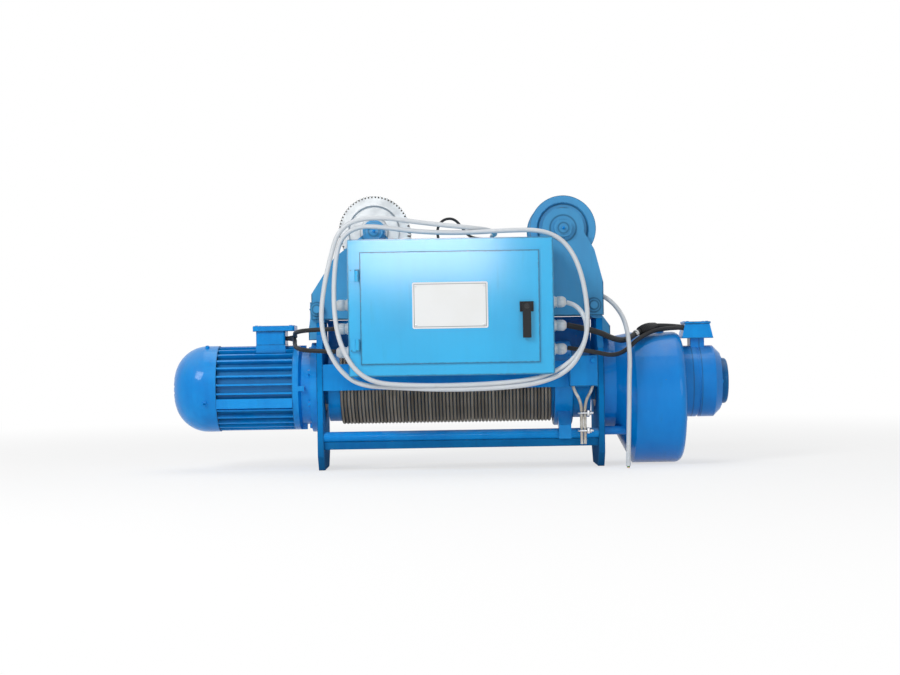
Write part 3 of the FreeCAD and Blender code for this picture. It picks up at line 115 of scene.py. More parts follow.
class HoistColours(bpy.types.PropertyGroup):
    enamel_deep: colour_setting("Deep enamel", "Darker tone of the blue enamel", (0.001, 0.190, 0.58))
    enamel_light: colour_setting("Light enamel", "Lighter tone of the blue enamel", (0.004, 0.325, 0.80))
    faded: colour_setting("Faded enamel", "Greyer enamel of the trolley's plates", (0.13, 0.36, 0.45))
    box_tint: colour_setting("Box enamel", "Paler enamel of the control box", (0.02, 0.48, 0.76))
    gear_tint: colour_setting("Gearbox enamel", "Deeper enamel of gearbox and brake", (0.0, 0.175, 0.58))
    primer: colour_setting("Primer", "Dark primer that shows in chips", (0.10, 0.14, 0.18))
    # Colour of the dirt streaks, and of the painted shade at edges, seams, rings, between fins and low
    # down.
    grime_and_shade: colour_setting("Grime", "Dirt in creases and low down", (0.012, 0.045, 0.085))
    dust: colour_setting("Dust", "Dust that lies on upward faces", (0.36, 0.42, 0.46))
    # Colour of the rope's grease, and of the dark ring that paints shade in the drive wheels' tooth gaps.
    grease: colour_setting("Grease", "Old grease on the rope and the teeth", (0.034, 0.028, 0.022))
    wire: colour_setting("Wire", "Bright wires of the rope", (0.44, 0.40, 0.34))
    sheath: colour_setting("Grey sheath", "Grey plastic of the pendant cable", (0.57, 0.60, 0.63))
    rubber: colour_setting("Black rubber", "Black sheath of the leads", (0.018, 0.019, 0.021))
    nylon: colour_setting("Gland nylon", "Pale nylon of the cable glands", (0.62, 0.64, 0.65))
    steel: colour_setting("Steel", "Bare machined steel", (0.60, 0.62, 0.63))
    plate: colour_setting("Name plate", "White lacquer of the blank plate", (0.74, 0.75, 0.75))


class HoistView(bpy.types.PropertyGroup):
    distance: length_setting("Distance", "Camera's distance from the drum's axis", 4.4)
    height: length_setting("Height", "Camera's height above the floor", 0.301)
    lens: bpy.props.FloatProperty(
        name="Lens", description="Focal length in millimetres on a 36 mm wide sensor", default=75.2)
    ambient: bpy.props.FloatProperty(
        name="Ambient", description="Strength of the even light from all sides", default=0.32)
    roll: bpy.props.FloatProperty(
        name="Roll", description="Clockwise roll of the camera", default=math.radians(0.95),
        subtype="ANGLE")


def sizes():
    return bpy.context.scene.hoist_sizes


def colours():
    return bpy.context.scene.hoist_colours


# Shader nodes written as expressions

class Flow:
    """A value that flows through a material; its operators add Math nodes."""

    def __init__(self, finish, socket):
        self.finish = finish
        self.socket = socket

    def math(self, operation, *others):
        return self.finish.math(operation, self, *others)

    def __add__(self, other):
        return self.math("ADD", other)

    def __sub__(self, other):
        return self.math("SUBTRACT", other)

    def __mul__(self, other):
        return self.math("MULTIPLY", other)

    def __truediv__(self, other):
        return self.math("DIVIDE", other)

    def __rsub__(self, other):
        return self.finish.math("SUBTRACT", other, self)

    __radd__ = __add__
    __rmul__ = __mul__

    def least(self, other):
        return self.math("MINIMUM", other)

    def most(self, other):
        return self.math("MAXIMUM", other)

    def away_from(self, number):
        return (self - number).math("ABSOLUTE")

    def step(self, start, end):
        """From 0 at start to 1 at end, smooth between."""
        return self.finish.node(
            "ShaderNodeMapRange", {"interpolation_type": "SMOOTHSTEP"},
            {"Value": self, "From Min": start, "From Max": end})


class Nodes:
    """A node tree that grows by calls and expressions."""

    def __init__(self, tree):
        self.tree = tree

    def node(self, kind, settings=None, inputs=None, output=0):
        """Makes a node: its settings first, then the values or links of its sockets."""
        made = self.tree.nodes.new(kind)
        for name, setting in (settings or {}).items():
            setattr(made, name, setting)
        for name, given in (inputs or {}).items():
            self.feed(made.inputs[name], given)
        return Flow(self, made.outputs[output])

    def feed(self, socket, given):
        if isinstance(given, Flow):
            self.tree.links.new(given.socket, socket)
        elif socket.type == "RGBA" and len(given) == 3:
            socket.default_value = (*given, 1.0)
        else:
            socket.default_value = given

    def math(self, operation, *values):
        return self.node("ShaderNodeMath", {"operation": operation}, dict(enumerate(values)))

    def split(self, vector):
        first = self.node("ShaderNodeSeparateXYZ", {}, {0: vector})
        return [Flow(self, socket) for socket in first.socket.node.outputs]

    def mix(self, factor, first, second):
        """Blends two colours, which are a Mix node's sockets 6 and 7 and its output 2."""
        return self.node("ShaderNodeMix", {"data_type": "RGBA"}, {0: factor, 6: first, 7: second}, 2)

    def seen(self):
        """1 for rays from the camera, from a mirror or through glass, 0 for light."""
        camera, mirrored, through = (
            self.node("ShaderNodeLightPath", output=f"Is {kind} Ray")
            for kind in ("Camera", "Glossy", "Transmission")
        )
        return camera.most(mirrored).most(through)


class Finish(Nodes):
    """One procedural material and its Principled shader."""

    def __init__(self, name, **constants):
        self.material = bpy.data.materials.new(name)
        self.material.use_nodes = True
        super().__init__(self.material.node_tree)
        self.shader = self.tree.nodes["Principled BSDF"]
        for socket, number in constants.items():
            self.shader.inputs[self.label(socket)].default_value = number
        self.place = self.node("ShaderNodeTexCoord", output="Object")
        self.x, self.y, self.z = self.split(self.place)

    def label(self, socket):
        """A shader socket's label from its plain name."""
        return socket.replace("_", " ").title().replace("Ior", "IOR")

    def stretched(self, x, y, z):
        return self.node("ShaderNodeMapping", {}, {"Vector": self.place, "Scale": (x, y, z)})

    def noise(self, scale, detail=3.0, roughness=0.55, where=None):
        inputs = {"Vector": where or self.place, "Scale": scale, "Detail": detail, "Roughness": roughness}
        return self.node("ShaderNodeTexNoise", {}, inputs, "Fac")

    def waves(self, flow):
        """Smooth waves between 0 and 1."""
        return flow.math("SINE") * 0.5 + 0.5

    def cells(self, scale):
        inputs = {"Vector": self.place, "Scale": scale}
        return self.node("ShaderNodeTexVoronoi", {}, inputs, "Color")

    def upward(self):
        """How far a face looks up, from 0 for a wall to 1 for a top."""
        normal = self.node("ShaderNodeNewGeometry", output="Normal")
        return self.split(normal)[2].step(0.25, 0.95)

    def bump(self, height, strength, distance):
        inputs = {"Height": height, "Strength": strength, "Distance": distance}
        made = self.node("ShaderNodeBump", {}, inputs)
        self.feed(self.shader.inputs["Normal"], made)

    def shade(self, **flows):
        for socket, flow in flows.items():
            self.feed(self.shader.inputs[self.label(socket)], flow)
        return self.material


# Finishes

def nearest(flow, places):
    """Distance to the nearest of some places, in metres."""
    found = flow.away_from(places[0])
    for place in places[1:]:
        found = found.least(flow.away_from(place))
    return found


def box_edges(finish, low, high):
    """Distance to the nearest edge of a box: the middle one of the distances to its walls."""
    across, deep, up = (
        nearest(flow, walls) for flow, walls in zip((finish.x, finish.y, finish.z), zip(low, high))
    )
    return across.least(deep).most(across.most(deep).least(up))


def from_axis(finish, centre, along):
    """Distance from an axis that runs along X or Y, in metres."""
    side = finish.y - centre.y if along == "x" else finish.x - centre.x
    up = finish.z - centre.z
    return (side * side + up * up).math("SQRT")


def blue_paint(finish, tint, tone, fade, fade_to):
    """Blue between a deep and a light tone, moved some way to another of the colours."""
    tones = colours()
    deep = [part * tone for part in tones.enamel_deep]
    light = [part * tone for part in tones.enamel_light]
    return finish.mix(fade, finish.mix(tint, deep, light), getattr(tones, fade_to))


def add_painted_shade(finish, marked, seams, rings, valley, crease):
    """Adds painted shade at seams and grooves along X, in rings round axles and bolts, and in the valley
    between fins.
    """
    if seams:
        marked = marked.most(nearest(finish.x, seams).step(crease, 0.0) * 0.55)
    for axle, *radii in rings:
        marked = marked.most(nearest(from_axis(finish, axle, "y"), radii).step(crease, 0.0) * 0.6)
    if valley:
        marked = marked.most((1.0 - from_axis(finish, AXIS, "x").step(*valley)) * 0.5)
    return marked


def enamel(name, node=None, seams=(), rings=(), valley=None, cast=0.0, boxed=False, crease=2.4 * MM,
           dusty=0.3, tone=1.0, gloss=0.12, soft=0.06, fade=0.0, fade_to="faded", dull=0.0, splashed=0.0):
    """Glossy blue enamel: cloudy colour, dust on top, faint dirt streaks, painted shade at edges, seams,
    rings, between fins and low down, few chips.
    """
    tones = colours()
    finish = Finish(name, specular_ior_level=0.08, coat_weight=gloss, coat_roughness=soft)
    cloud = finish.noise(6.0, 4.0)
    brushed = finish.noise(1.0, 3.0, where=finish.stretched(60.0, 60.0, 7.0))
    tint = (cloud * 0.75 + brushed * 0.25).step(0.28, 0.74)
    blue = blue_paint(finish, tint, tone, fade, fade_to)
    specks = finish.noise(85.0, 5.0, 0.65)
    dust = finish.upward() * finish.noise(14.0, 5.0).step(0.35, 0.7) * dusty
    low_shade_height = 0.16
    streaks = brushed.step(0.58, 0.80) * 0.14
    # Dirt streaks, and painted shade that darkens the paint towards the bottom.
    marked = streaks + finish.z.step(low_shade_height, 0.0) * splashed
    chips = specks.step(0.735, 0.755)
    if boxed:
        edge = box_edges(finish, *corners_of(node))
        # Painted shade: a dark band along the edges of the node's box. Chips also gather in this band.
        dark = (edge + (specks - 0.5) * 0.004).step(crease, crease / 6)
        marked = marked.most(dark * 0.65)
        chips = chips.most(dark * specks.step(0.60, 0.66))
    marked = add_painted_shade(finish, marked, seams, rings, valley, crease)
    dusted = finish.mix(dust, blue, tones.dust)
    # Dirt streaks and painted shade both take the grime colour.
    coat = finish.mix(chips, finish.mix(marked, dusted, tones.grime_and_shade), tones.primer)
    peel = finish.noise(260.0, 2.0)
    grain = finish.noise(420.0, 4.0, 0.7) * cast + peel * 0.25
    finish.bump(grain - chips * 0.6, 0.2 + cast * 0.4, 0.6 * MM)
    rough = 0.30 + dull + dust * 0.45 + marked * 0.4 + chips * 0.35 + (peel - 0.5) * 0.06
    return finish.shade(base_color=coat, roughness=rough)


def machined(name, centre, along):
    """Bare turned steel with tool rings round an axle."""
    tones = colours()
    finish = Finish(name, metallic=0.85)
    rings = finish.waves(from_axis(finish, centre, along) * 5200.0)
    stain = finish.noise(22.0, 5.0, 0.6)
    haze = stain.step(0.42, 0.72)
    tone = finish.mix(haze, tones.steel, [part * 0.8 for part in tones.steel])
    rust = finish.noise(70.0, 6.0, 0.7).step(0.68, 0.76) * 0.4
    rust_brown = (0.20, 0.12, 0.07)
    finish.bump(rings * 0.6 + stain * 0.4, 0.15, 0.2 * MM)
    return finish.shade(base_color=finish.mix(rust, tone, rust_brown),
                        roughness=0.46 + haze * 0.15 + rust * 0.3)


def zinc(name):
    """Galvanised fittings with a faint spangle."""
    finish = Finish(name, metallic=0.95)
    grey = finish.node("ShaderNodeRGBToBW", {}, {0: finish.cells(320.0)})
    dull = finish.noise(160.0, 4.0)
    dark_zinc = (0.52, 0.53, 0.55)
    bright_zinc = (0.80, 0.81, 0.83)
    tone = finish.mix(grey * 0.6 + dull * 0.4, dark_zinc, bright_zinc)
    finish.bump(dull, 0.12, 0.2 * MM)
    return finish.shade(base_color=tone, roughness=0.26 + dull * 0.22)


def wound_wire(name):
    """Greasy rope on the drum: each strand's lay is found from the turn that a place belongs to."""
    tones, size = colours(), sizes()
    finish = Finish(name, metallic=0.7)
    out_y, out_z = finish.y - AXIS.y, finish.z - AXIS.z
    angle = (out_y * -1.0).math("ARCTAN2", out_z)
    turn = (finish.x - ROPE_START) / size.rope_pitch - angle / TURN
    number = (turn + 0.5).math("FLOOR")
    across = (turn - number) * size.rope_pitch
    out = from_axis(finish, AXIS, "x") - ROPE_RADIUS
    strands = 6.0
    lays_per_turn = 64.0
    wires_per_strand = 5.0
    lay = out.math("ARCTAN2", across) * strands + angle * lays_per_turn
    strand = finish.waves(lay)
    wires = finish.waves(lay * wires_per_strand)
    crown = out.step(-0.5 * MM, 3.6 * MM)
    old = finish.noise(7.0, 5.0, 0.6)
    uneven = finish.node("ShaderNodeTexWhiteNoise", {"noise_dimensions": "1D"}, {"W": number}, "Value")
    clean = (strand * 0.7 + wires * 0.3) * (0.2 + crown * 0.8) * (0.25 + old * 0.8 + uneven * 0.5)
    tone = finish.mix(clean.step(0.10, 0.80), tones.grease, tones.wire)
    rust = finish.noise(30.0, 5.0).step(0.52, 0.72) * 0.4
    rust_brown = (0.11, 0.085, 0.06)
    finish.bump(strand + wires * 0.25, 0.8, 0.6 * MM)
    return finish.shade(base_color=finish.mix(rust, tone, rust_brown), roughness=0.62 - clean * 0.25)


def bare_wire(name):
    """Bright strands of the rope's clamped end."""
    tones = colours()
    finish = Finish(name, metallic=0.85)
    old = finish.noise(60.0, 5.0)
    bright = (0.62, 0.61, 0.58)
    tone = finish.mix(old.step(0.35, 0.7), tones.wire, bright)
    finish.bump(finish.noise(1400.0, 2.0), 0.25, 0.2 * MM)
    return finish.shade(base_color=tone, roughness=0.34 + old * 0.2)


def plastic(name, colour, marked, grain, rough, soil=0.35, shine=0.5):
    """Moulded or extruded plastic with soft soiling and a fine skin."""
    finish = Finish(name, specular_ior_level=shine)
    cloud = finish.noise(11.0, 4.0)
    mark = finish.noise(75.0, 6.0, 0.65).step(0.55, 0.75) * soil
    skin = finish.noise(grain, 2.0)
    finish.bump(skin, 0.12, 0.3 * MM)
    tone = finish.mix(cloud.step(0.4, 0.75) * soil * 0.5 + mark * 0.6, colour, marked)
    return finish.shade(base_color=tone, roughness=rough + (skin - 0.5) * 0.12 + mark * 0.25)


def laminated(name):
    """Stacked and varnished iron sheets; their edges show as fine lines."""
    finish = Finish(name, metallic=0.6)
    sheets = finish.waves(finish.y * 9000.0)
    rust = finish.noise(90.0, 5.0, 0.65).step(0.50, 0.72)
    finish.bump(sheets, 0.3, 0.2 * MM)
    varnish = (0.10, 0.10, 0.10)
    iron = (0.22, 0.22, 0.21)
    rust_brown = (0.16, 0.08, 0.04)
    tone = finish.mix(rust * 0.5, finish.mix(sheets, varnish, iron), rust_brown)
    return finish.shade(base_color=tone, roughness=0.45 + rust * 0.2)


def cored(name):
    """Cut copper in the cable's bare end."""
    finish = Finish(name, metallic=0.9)
    dull = finish.noise(500.0, 3.0)
    finish.bump(dull, 0.2, 0.1 * MM)
    dark_copper = (0.62, 0.27, 0.13)
    bright_copper = (0.78, 0.42, 0.24)
    return finish.shade(base_color=finish.mix(dull, dark_copper, bright_copper), roughness=0.3 + dull * 0.2)


def lacquer(name, low, high):
    """White lacquered sheet with fine scratches, a faint yellowing and a plain printed border."""
    finish = Finish(name, coat_weight=0.2)
    yellowed = (0.66, 0.66, 0.62)
    print_black = (0.10, 0.12, 0.14)
    scratched = (0.5, 0.52, 0.53)
    border_inset = 4.0 * MM
    cloud = finish.noise(9.0, 4.0)
    lines = finish.noise(1.0, 4.0, 0.7, finish.stretched(30.0, 30.0, 900.0)).step(0.60, 0.75)
    tone = finish.mix(cloud.step(0.4, 0.8) * 0.35, colours().plate, yellowed)
    edge = nearest(finish.x, (low.x, high.x)).least(nearest(finish.z, (low.z, high.z)))
    border = edge.away_from(border_inset).step(0.9 * MM, 0.6 * MM)
    printed = finish.mix(border * 0.85, tone, print_black)
    finish.bump(lines, 0.08, 0.1 * MM)
    return finish.shade(base_color=finish.mix(lines * 0.12, printed, scratched),
                        roughness=0.34 + lines * 0.12 + cloud * 0.08)


# Mesh tools

def new_object(name, data):
    """Makes an object and links it into the scene."""
    made = bpy.data.objects.new(name, data)
    bpy.context.scene.collection.objects.link(made)
    return made


def mesh_from(name, shape):
    """Turns a bmesh into a mesh and frees it."""
    mesh = bpy.data.meshes.new(name)
    shape.to_mesh(mesh)
    shape.free()
    return mesh


def mesh_of_curve(piece):
    """Turns a curve object into a mesh and removes the object."""
    bpy.context.view_layer.update()
    mesh = bpy.data.meshes.new_from_object(piece.evaluated_get(bpy.context.evaluated_depsgraph_get()))
    bpy.data.objects.remove(piece)
    return mesh


def keep_mesh(name, shape, material, body, smooth=True):
    """Turns a finished bmesh into a piece that rides on a body."""
    if smooth:
        for face in shape.faces:
            face.smooth = True
    piece = new_object(name, mesh_from(name, shape))
    piece.data.materials.append(material)
    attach(piece, body)
    return piece


def dress(nodes, material):
    """Gives CAD nodes one material."""
    for node in nodes:
        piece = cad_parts[node]
        piece.data.materials.clear()
        piece.data.materials.append(material)


def paint(nodes, **look):
    """Gives each of some CAD nodes an enamel of its own."""
    for node in nodes:
        dress([node], enamel(node + "_enamel", node, **look))


def toward(place, direction):
    """Stands local Z along a direction at a place."""
    return Matrix.Translation(place) @ Vector(direction).to_track_quat("Z", "Y").to_matrix().to_4x4()


def add(shape, made, stand):
    """Moves a made part into place and joins it to the shape."""
    bmesh.ops.remove_doubles(made, verts=made.verts, dist=0.001 * MM)
    bmesh.ops.recalc_face_normals(made, faces=made.faces)
    bmesh.ops.transform(made, matrix=stand, verts=made.verts)
    mesh = mesh_from("part", made)
    shape.from_mesh(mesh)
    bpy.data.meshes.remove(mesh)


def round_edges(made, edges, offset, segments):
    bmesh.ops.bevel(made, geom=edges, offset=offset, segments=segments, profile=0.5,
                    affect="EDGES", material=-1)


def block(size):
    """A block of a given size round the origin."""
    made = bmesh.new()
    bmesh.ops.create_cube(made, size=1.0)
    bmesh.ops.scale(made, vec=size, verts=made.verts)
    return made


def turned(profile, steps):
    """A line of (radius, height) pairs in millimetres, turned round local Z."""
    made = bmesh.new()
    corners = [made.verts.new((radius * MM, 0.0, height * MM)) for radius, height in profile]
    for first, second in zip(corners, corners[1:]):
        made.edges.new((first, second))
    bmesh.ops.spin(made, geom=made.verts[:] + made.edges[:], cent=(0, 0, 0), axis=(0, 0, 1),
                   angle=TURN, steps=steps, use_merge=True)
    return made


def lathe(shape, profile, stand, steps=24):
    """Turns a profile and joins it to the shape."""
    add(shape, turned(profile, steps), stand)


def prism(shape, radius, height, stand, sides=6, base=0.0):
    """A prism on local Z in millimetres, its upper rim chamfered."""
    made = bmesh.new()
    bmesh.ops.create_cone(made, cap_ends=True, segments=sides, radius1=radius * MM, radius2=radius * MM,
                          depth=height * MM, matrix=Matrix.Translation((0, 0, (base + height / 2) * MM)))
    top = (base + height) * MM
    rim = [edge for edge in made.edges if all(abs(v.co.z - top) < 0.01 * MM for v in edge.verts)]
    round_edges(made, rim, 0.12 * height * MM, 2)
    add(shape, made, stand)


def slab(shape, low, high, round_off):
    """A block between two corners in metres, its edges rounded."""
    made = block(high - low)
    round_edges(made, made.edges[:], round_off, 3)
    add(shape, made, Matrix.Translation((low + high) / 2))


def hex_bolt(shape, place, direction, size):
    """A hex head on a washer; size is the thread's diameter in millimetres."""
    stand = toward(place, direction)
    bore, washer, thick = size * 0.5, size * 1.05, size * 0.18
    lathe(shape, [(bore, 0), (washer, 0), (washer, thick), (bore, thick)], stand)
    prism(shape, size * 0.92, size * 0.65, stand, base=thick)


def socket_screw(shape, place, direction, size):
    """A cap screw with its round head and a sunk socket."""
    rim, height, soft = size * 0.8, size, size * 0.12
    profile = [(0, height * 0.45), (rim * 0.55, height * 0.45), (rim * 0.55, height - soft / 2),
               (rim * 0.6, height), (rim - soft, height), (rim, height - soft), (rim, 0)]
    lathe(shape, profile, toward(place, direction), 18)


def round_circle(count, start=0.0):
    """Angles spaced evenly round a circle."""
    return [start + TURN * step / count for step in range(count)]


def cord_line(name, points, radius, material=None, rings=5):
    """A cord as one NURBS spline whose control points are its route."""
    curve = bpy.data.curves.new(name, "CURVE")
    curve.dimensions = "3D"
    spline = curve.splines.new("NURBS")
    spline.points.add(len(points) - 1)
    for knot, place in zip(spline.points, points):
        knot.co = (*(part * MM for part in place), 1.0)
    spline.order_u = 3
    spline.use_endpoint_u = True
    spline.resolution_u = 10
    curve.bevel_depth = radius
    curve.bevel_resolution = rings
    curve.use_fill_caps = radius > 0
    if material:
        curve.materials.append(material)
    return new_object(name, curve)


def line_points(points):
    """Places along the NURBS line of a route, read from the curve itself."""
    mesh = mesh_of_curve(cord_line("guide_line", points, 0.0))
    places = [vertex.co.copy() for vertex in mesh.vertices]
    bpy.data.meshes.remove(mesh)
    return places


# Routes of the cords in millimetres, as in the CAD model where that has them

COIL_ROUTE = [
    (260, -235, 374), (281, -240, 370), (303, -259, 332), (297, -271, 283), (262, -281, 240),
    (200, -284, 209), (110, -287, 199), (0, -289, 196), (-100, -293, 198), (-168, -303, 205),
    (-210, -312, 234), (-239, -308, 288), (-251, -296, 346), (-253, -287, 414), (-247, -281, 484),
    (-234, -279, 526), (-197, -277, 549), (-140, -277, 545), (-60, -276, 533), (40, -277, 530),
    (130, -281, 534), (200, -279, 534), (247, -278, 515), (277, -278, 475), (295, -280, 418),
    (303, -283, 350), (298, -284, 288), (264, -285, 226), (196, -286, 197), (100, -286, 188),
    (-20, -286, 187), (-120, -286, 193), (-202, -285, 199), (-246, -284, 236), (-273, -283, 290),
    (-283, -282, 346), (-274, -281, 420), (-259, -280, 482), (-243, -279, 536), (-206, -278, 563),
    (-145, -277, 567), (-86, -276, 558), (-20, -275, 549), (40, -283, 542), (91, -252, 537),
]
TAIL_ROUTE = [
    (108, -192, 531), (97, -116, 532), (103, -65, 501), (135, -47, 457), (190, -62, 426),
    (260, -64, 411), (322, -63, 406), (368, -75, 384), (394, -104, 348), (402, -148, 309),
    (404, -173, 253), (401, -176, 196), (400, -176, 136), (398, -176, 76), (396, -176, 6),
]
MOTOR_LEAD_ROUTES = {
    "upper_motor_lead": [
        (-254, -235, 324), (-310, -233, 323), (-346, -190, 319), (-354, -110, 312), (-358, -36, 307),
        (-382, 0, 305),
    ],
    "lower_motor_lead": [
        (-254, -235, 274), (-310, -233, 276), (-346, -190, 282), (-354, -116, 294), (-358, -58, 304),
        (-382, -24, 305),
    ],
}
CONDUIT_ROUTE = [
    (260, -235, 324), (322, -233, 312), (370, -185, 290), (402, -129, 288), (436, -71, 310),
    (480, -31, 323), (547, -12, 315),
]
BRAKE_LEAD_ROUTE = [
    (260, -235, 274), (320, -233, 264), (364, -189, 254), (398, -131, 264), (434, -93, 294),
    (482, -49, 315), (547, -32, 315),
]
TRAVEL_LEAD_ROUTE = [
    (-20, -150, 516), (-28, -158, 540), (-14, -151, 568), (14, -144, 571), (33, -141, 547),
    (50, -136, 526), (90, -132, 523), (126, -125, 524), (148, -114, 507), (154, -107, 484),
]
ROPE_END_ROUTE = [
    (296.25, -125, 54), (295.85, -125, 104), (296.25, -125, 150), (275.05, -125, 184), (275.05, -125, 241),
    (324.95, -125, 241), (324.95, -125, 184), (303.75, -125, 150), (304.15, -125, 104), (303.75, -125, 54),
]


# Colours of the cores in the grey cable

CORE_TINTS = {
    "black": (0.02, 0.02, 0.02), "brown": (0.16, 0.06, 0.02), "grey": (0.35, 0.35, 0.36),
    "green": (0.10, 0.38, 0.06),
}


# Steps of the build, each an operator

class HOIST_OT_finishes(bpy.types.Operator):
    """Gives each CAD node that stays its paint, metal or plastic"""
    bl_idname = "hoist.finishes"
    bl_label = "Finishes"

    def execute(self, context):
        self.castings()
        self.motor_fins()
        self.boxes()
        self.plates()
        self.wheels()
        self.plain_enamel()
        self.bare_metal()
        self.mouldings()
        return {"FINISHED"}

    def castings(self):
        """Cast housings with painted shade at their seams and grooves; gearbox and brake are deeper blue.
        """
        brake = low_of("brake_housing").x
        brake_grooves = (23 * MM, 43 * MM)
        seams_of = {
            "fan_cowl": (high_of("fan_cowl").x,),
            "motor_end_shield": ends_of("motor_end_shield"),
            "gearbox_case": (low_of("gearbox_case").x,),
            "gearbox_cover": (high_of("gearbox_cover").x,),
            "brake_housing": (brake, *(brake + groove for groove in brake_grooves)),
            "rope_guide": ends_of("rope_guide"),
            "travel_gearhead": (),
            "travel_motor": (),
        }
        deeper = ("gearbox_case", "gearbox_cover", "brake_housing")
        for node, seams in seams_of.items():
            paint([node], seams=seams, cast=0.8, dusty=0.15, gloss=0.3,
                  fade=0.6 if node in deeper else 0.0, fade_to="gear_tint")

    def motor_fins(self):
        """Finned motor housing with painted shade between its fins."""
        tips = high_of("motor_housing").z - AXIS.z
        valley = (tips - 16 * MM, tips - 2 * MM)
        paint(["motor_housing"], valley=valley, cast=0.8, dusty=0.15, gloss=0.3)

    def boxes(self):
        """Boxes, rails and rope anchor with painted shade along their edges; the control box is paler and
        glossier.
        """
        paint(["motor_terminal_box", "motor_terminal_lid", "brake_terminal_box", "brake_terminal_lid",
               "box_rails", "rope_anchor"], boxed=True, gloss=0.2)
        paint(["control_box", "control_door", "door_hinges"], boxed=True, crease=4.5 * MM,
              gloss=1.0, soft=0.11, fade=0.6, fade_to="box_tint")

    def plates(self):
        """Faded plates of the trolley with painted shade in rings round axles and bolts, and the dull frame
        with painted shade low down.
        """
        bolt_inset = 17 * MM
        left, right = ends_of("suspension_bolts")
        height = middle_of("suspension_bolts").z
        bolts = [Vector((across, 0, height)) for across in (left + bolt_inset, right - bolt_inset)]
        rings = [(axle, 12 * MM, 30 * MM) for axle in (LEFT_AXLE, RIGHT_AXLE)]
        rings += [(bolt, 10 * MM, 16 * MM) for bolt in bolts]
        paint(["front_side_plate", "rear_side_plate", "hangers", "suspension_bolts", "wheel_axles"],
              boxed=True, rings=rings, crease=3.5 * MM, fade=0.5, dull=0.15, gloss=0.1)
        paint(["left_end_plate", "right_end_plate", "tie_bars"],
              boxed=True, dull=0.4, gloss=0.0, tone=0.85, splashed=0.6)

    def wheels(self):
        """Painted idler wheels with painted shade at their steps, and bare toothed wheels."""
        steps = (RIGHT_AXLE, 22 * MM, 38 * MM, 56 * MM, 76 * MM)
        paint(["front_idler_wheel", "rear_idler_wheel"], rings=[steps], fade=0.45, gloss=0.25)
        dress(["front_drive_wheel", "rear_drive_wheel", "pinion_shaft"],
              machined("turned_wheel_steel", LEFT_AXLE, "y"))

    def plain_enamel(self):
        """Covers, tube, drum and breather with more dust, and the dark brake cap."""
        paint(["drum_covers", "guide_tube", "drum_shell", "drum_hubs", "breather_plug"], dusty=0.45)
        paint(["brake_cap"], tone=0.5)

    def bare_metal(self):
        """Shafts, gears, bearings, motor cores and brake discs of steel, and the box's zinc plate."""
        dress(["motor_shaft", "layshaft", "output_gear", "input_pinion", "bearings", "rotor_core",
               "stator_core", "brake_disc", "brake_armature"], machined("turned_shaft_steel", AXIS, "x"))
        dress(["mounting_plate"], zinc("galvanised_steel"))

    def mouldings(self):
        """Black plastic parts."""
        black = (0.010, 0.011, 0.013)
        scuffed = (0.05, 0.05, 0.05)
        dress(["door_handle", "handle_base", "cooling_fan", "brake_magnet"],
              plastic("black_moulding", black, scuffed, 900.0, 0.5, shine=0.25))


class HOIST_OT_grey_cable(bpy.types.Operator):
    """Lays the grey cable from its gland in loose turns round the box and down to its cut end"""
    bl_idname = "hoist.grey_cable"
    bl_label = "Grey cable"

    def execute(self, context):
        tones, radius = colours(), sizes().cable_radius
        sheath = plastic("grey_cable_sheath", tones.sheath, (0.34, 0.35, 0.36), 500.0, 0.42, 0.3)
        cable = cord_line("grey_cable", COIL_ROUTE + TAIL_ROUTE, radius, sheath)
        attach(cable, "frame")
        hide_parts("pendant_coil", "pendant_tail")
        bpy.context.view_layer.update()
        return {"FINISHED"}


class HOIST_OT_black_leads(bpy.types.Operator):
    """Lays the black leads to the motor and the brake, and the thin one that arches over the box"""
    bl_idname = "hoist.black_leads"
    bl_label = "Black leads"

    def execute(self, context):
        size = sizes()
        rubber = plastic("black_rubber", colours().rubber, (0.06, 0.06, 0.06), 600.0, 0.5, shine=0.2)
        thick = size.lead_radius
        thin = thick * 0.6
        motor_leads = [self.lead(name, route, thick, rubber) for name, route in MOTOR_LEAD_ROUTES.items()]
        self.lead("brake_lead", BRAKE_LEAD_ROUTE, thick, rubber)
        self.lead("travel_lead", TRAVEL_LEAD_ROUTE, thin, rubber)
        conduit = self.lead("brake_conduit", CONDUIT_ROUTE, size.conduit_radius, rubber,
                            ["conduit_sleeve", "cable_tie"])
        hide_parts("motor_leads")
        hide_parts("brake_leads")
        return {"FINISHED"}

    def lead(self, name, route, radius, rubber, pieces=()):
        """One lead that ends in the object; its smooth line is a little shorter than its route."""
        piece = cord_line(name, route, radius, rubber)
        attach(piece, "frame")
        return piece


class HOIST_OT_wound_rope(bpy.types.Operator):
    """Winds the rope in its turns on the drum"""
    bl_idname = "hoist.wound_rope"
    bl_label = "Wound rope"

    def execute(self, context):
        size = sizes()
        steps = 36
        made = bmesh.new()
        top = Matrix.Translation((ROPE_START, AXIS.y, AXIS.z + ROPE_RADIUS))
        stand = top @ Matrix.Rotation(math.pi / 2, 4, "X")
        bmesh.ops.create_circle(made, segments=12, radius=size.rope_diameter / 2, matrix=stand)
        bmesh.ops.spin(made, geom=made.verts[:] + made.edges[:], cent=AXIS, axis=(1, 0, 0),
                       dvec=(size.rope_pitch / steps, 0, 0), angle=TURN, steps=steps)
        shape = bmesh.new()
        one_turn = mesh_from("one_turn", made)
        for _ in range(size.rope_turns):
            shape.from_mesh(one_turn)
            one_turn.transform(Matrix.Translation((size.rope_pitch, 0, 0)))
        bpy.data.meshes.remove(one_turn)
        bmesh.ops.remove_doubles(shape, verts=shape.verts, dist=0.01 * MM)
        bmesh.ops.edgeloop_fill(shape, edges=[edge for edge in shape.edges if edge.is_boundary])
        bmesh.ops.recalc_face_normals(shape, faces=shape.faces)
        rope = keep_mesh("wound_rope", shape, wound_wire("wound_rope_wire"), "drum")
        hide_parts("rope_winding")
        return {"FINISHED"}


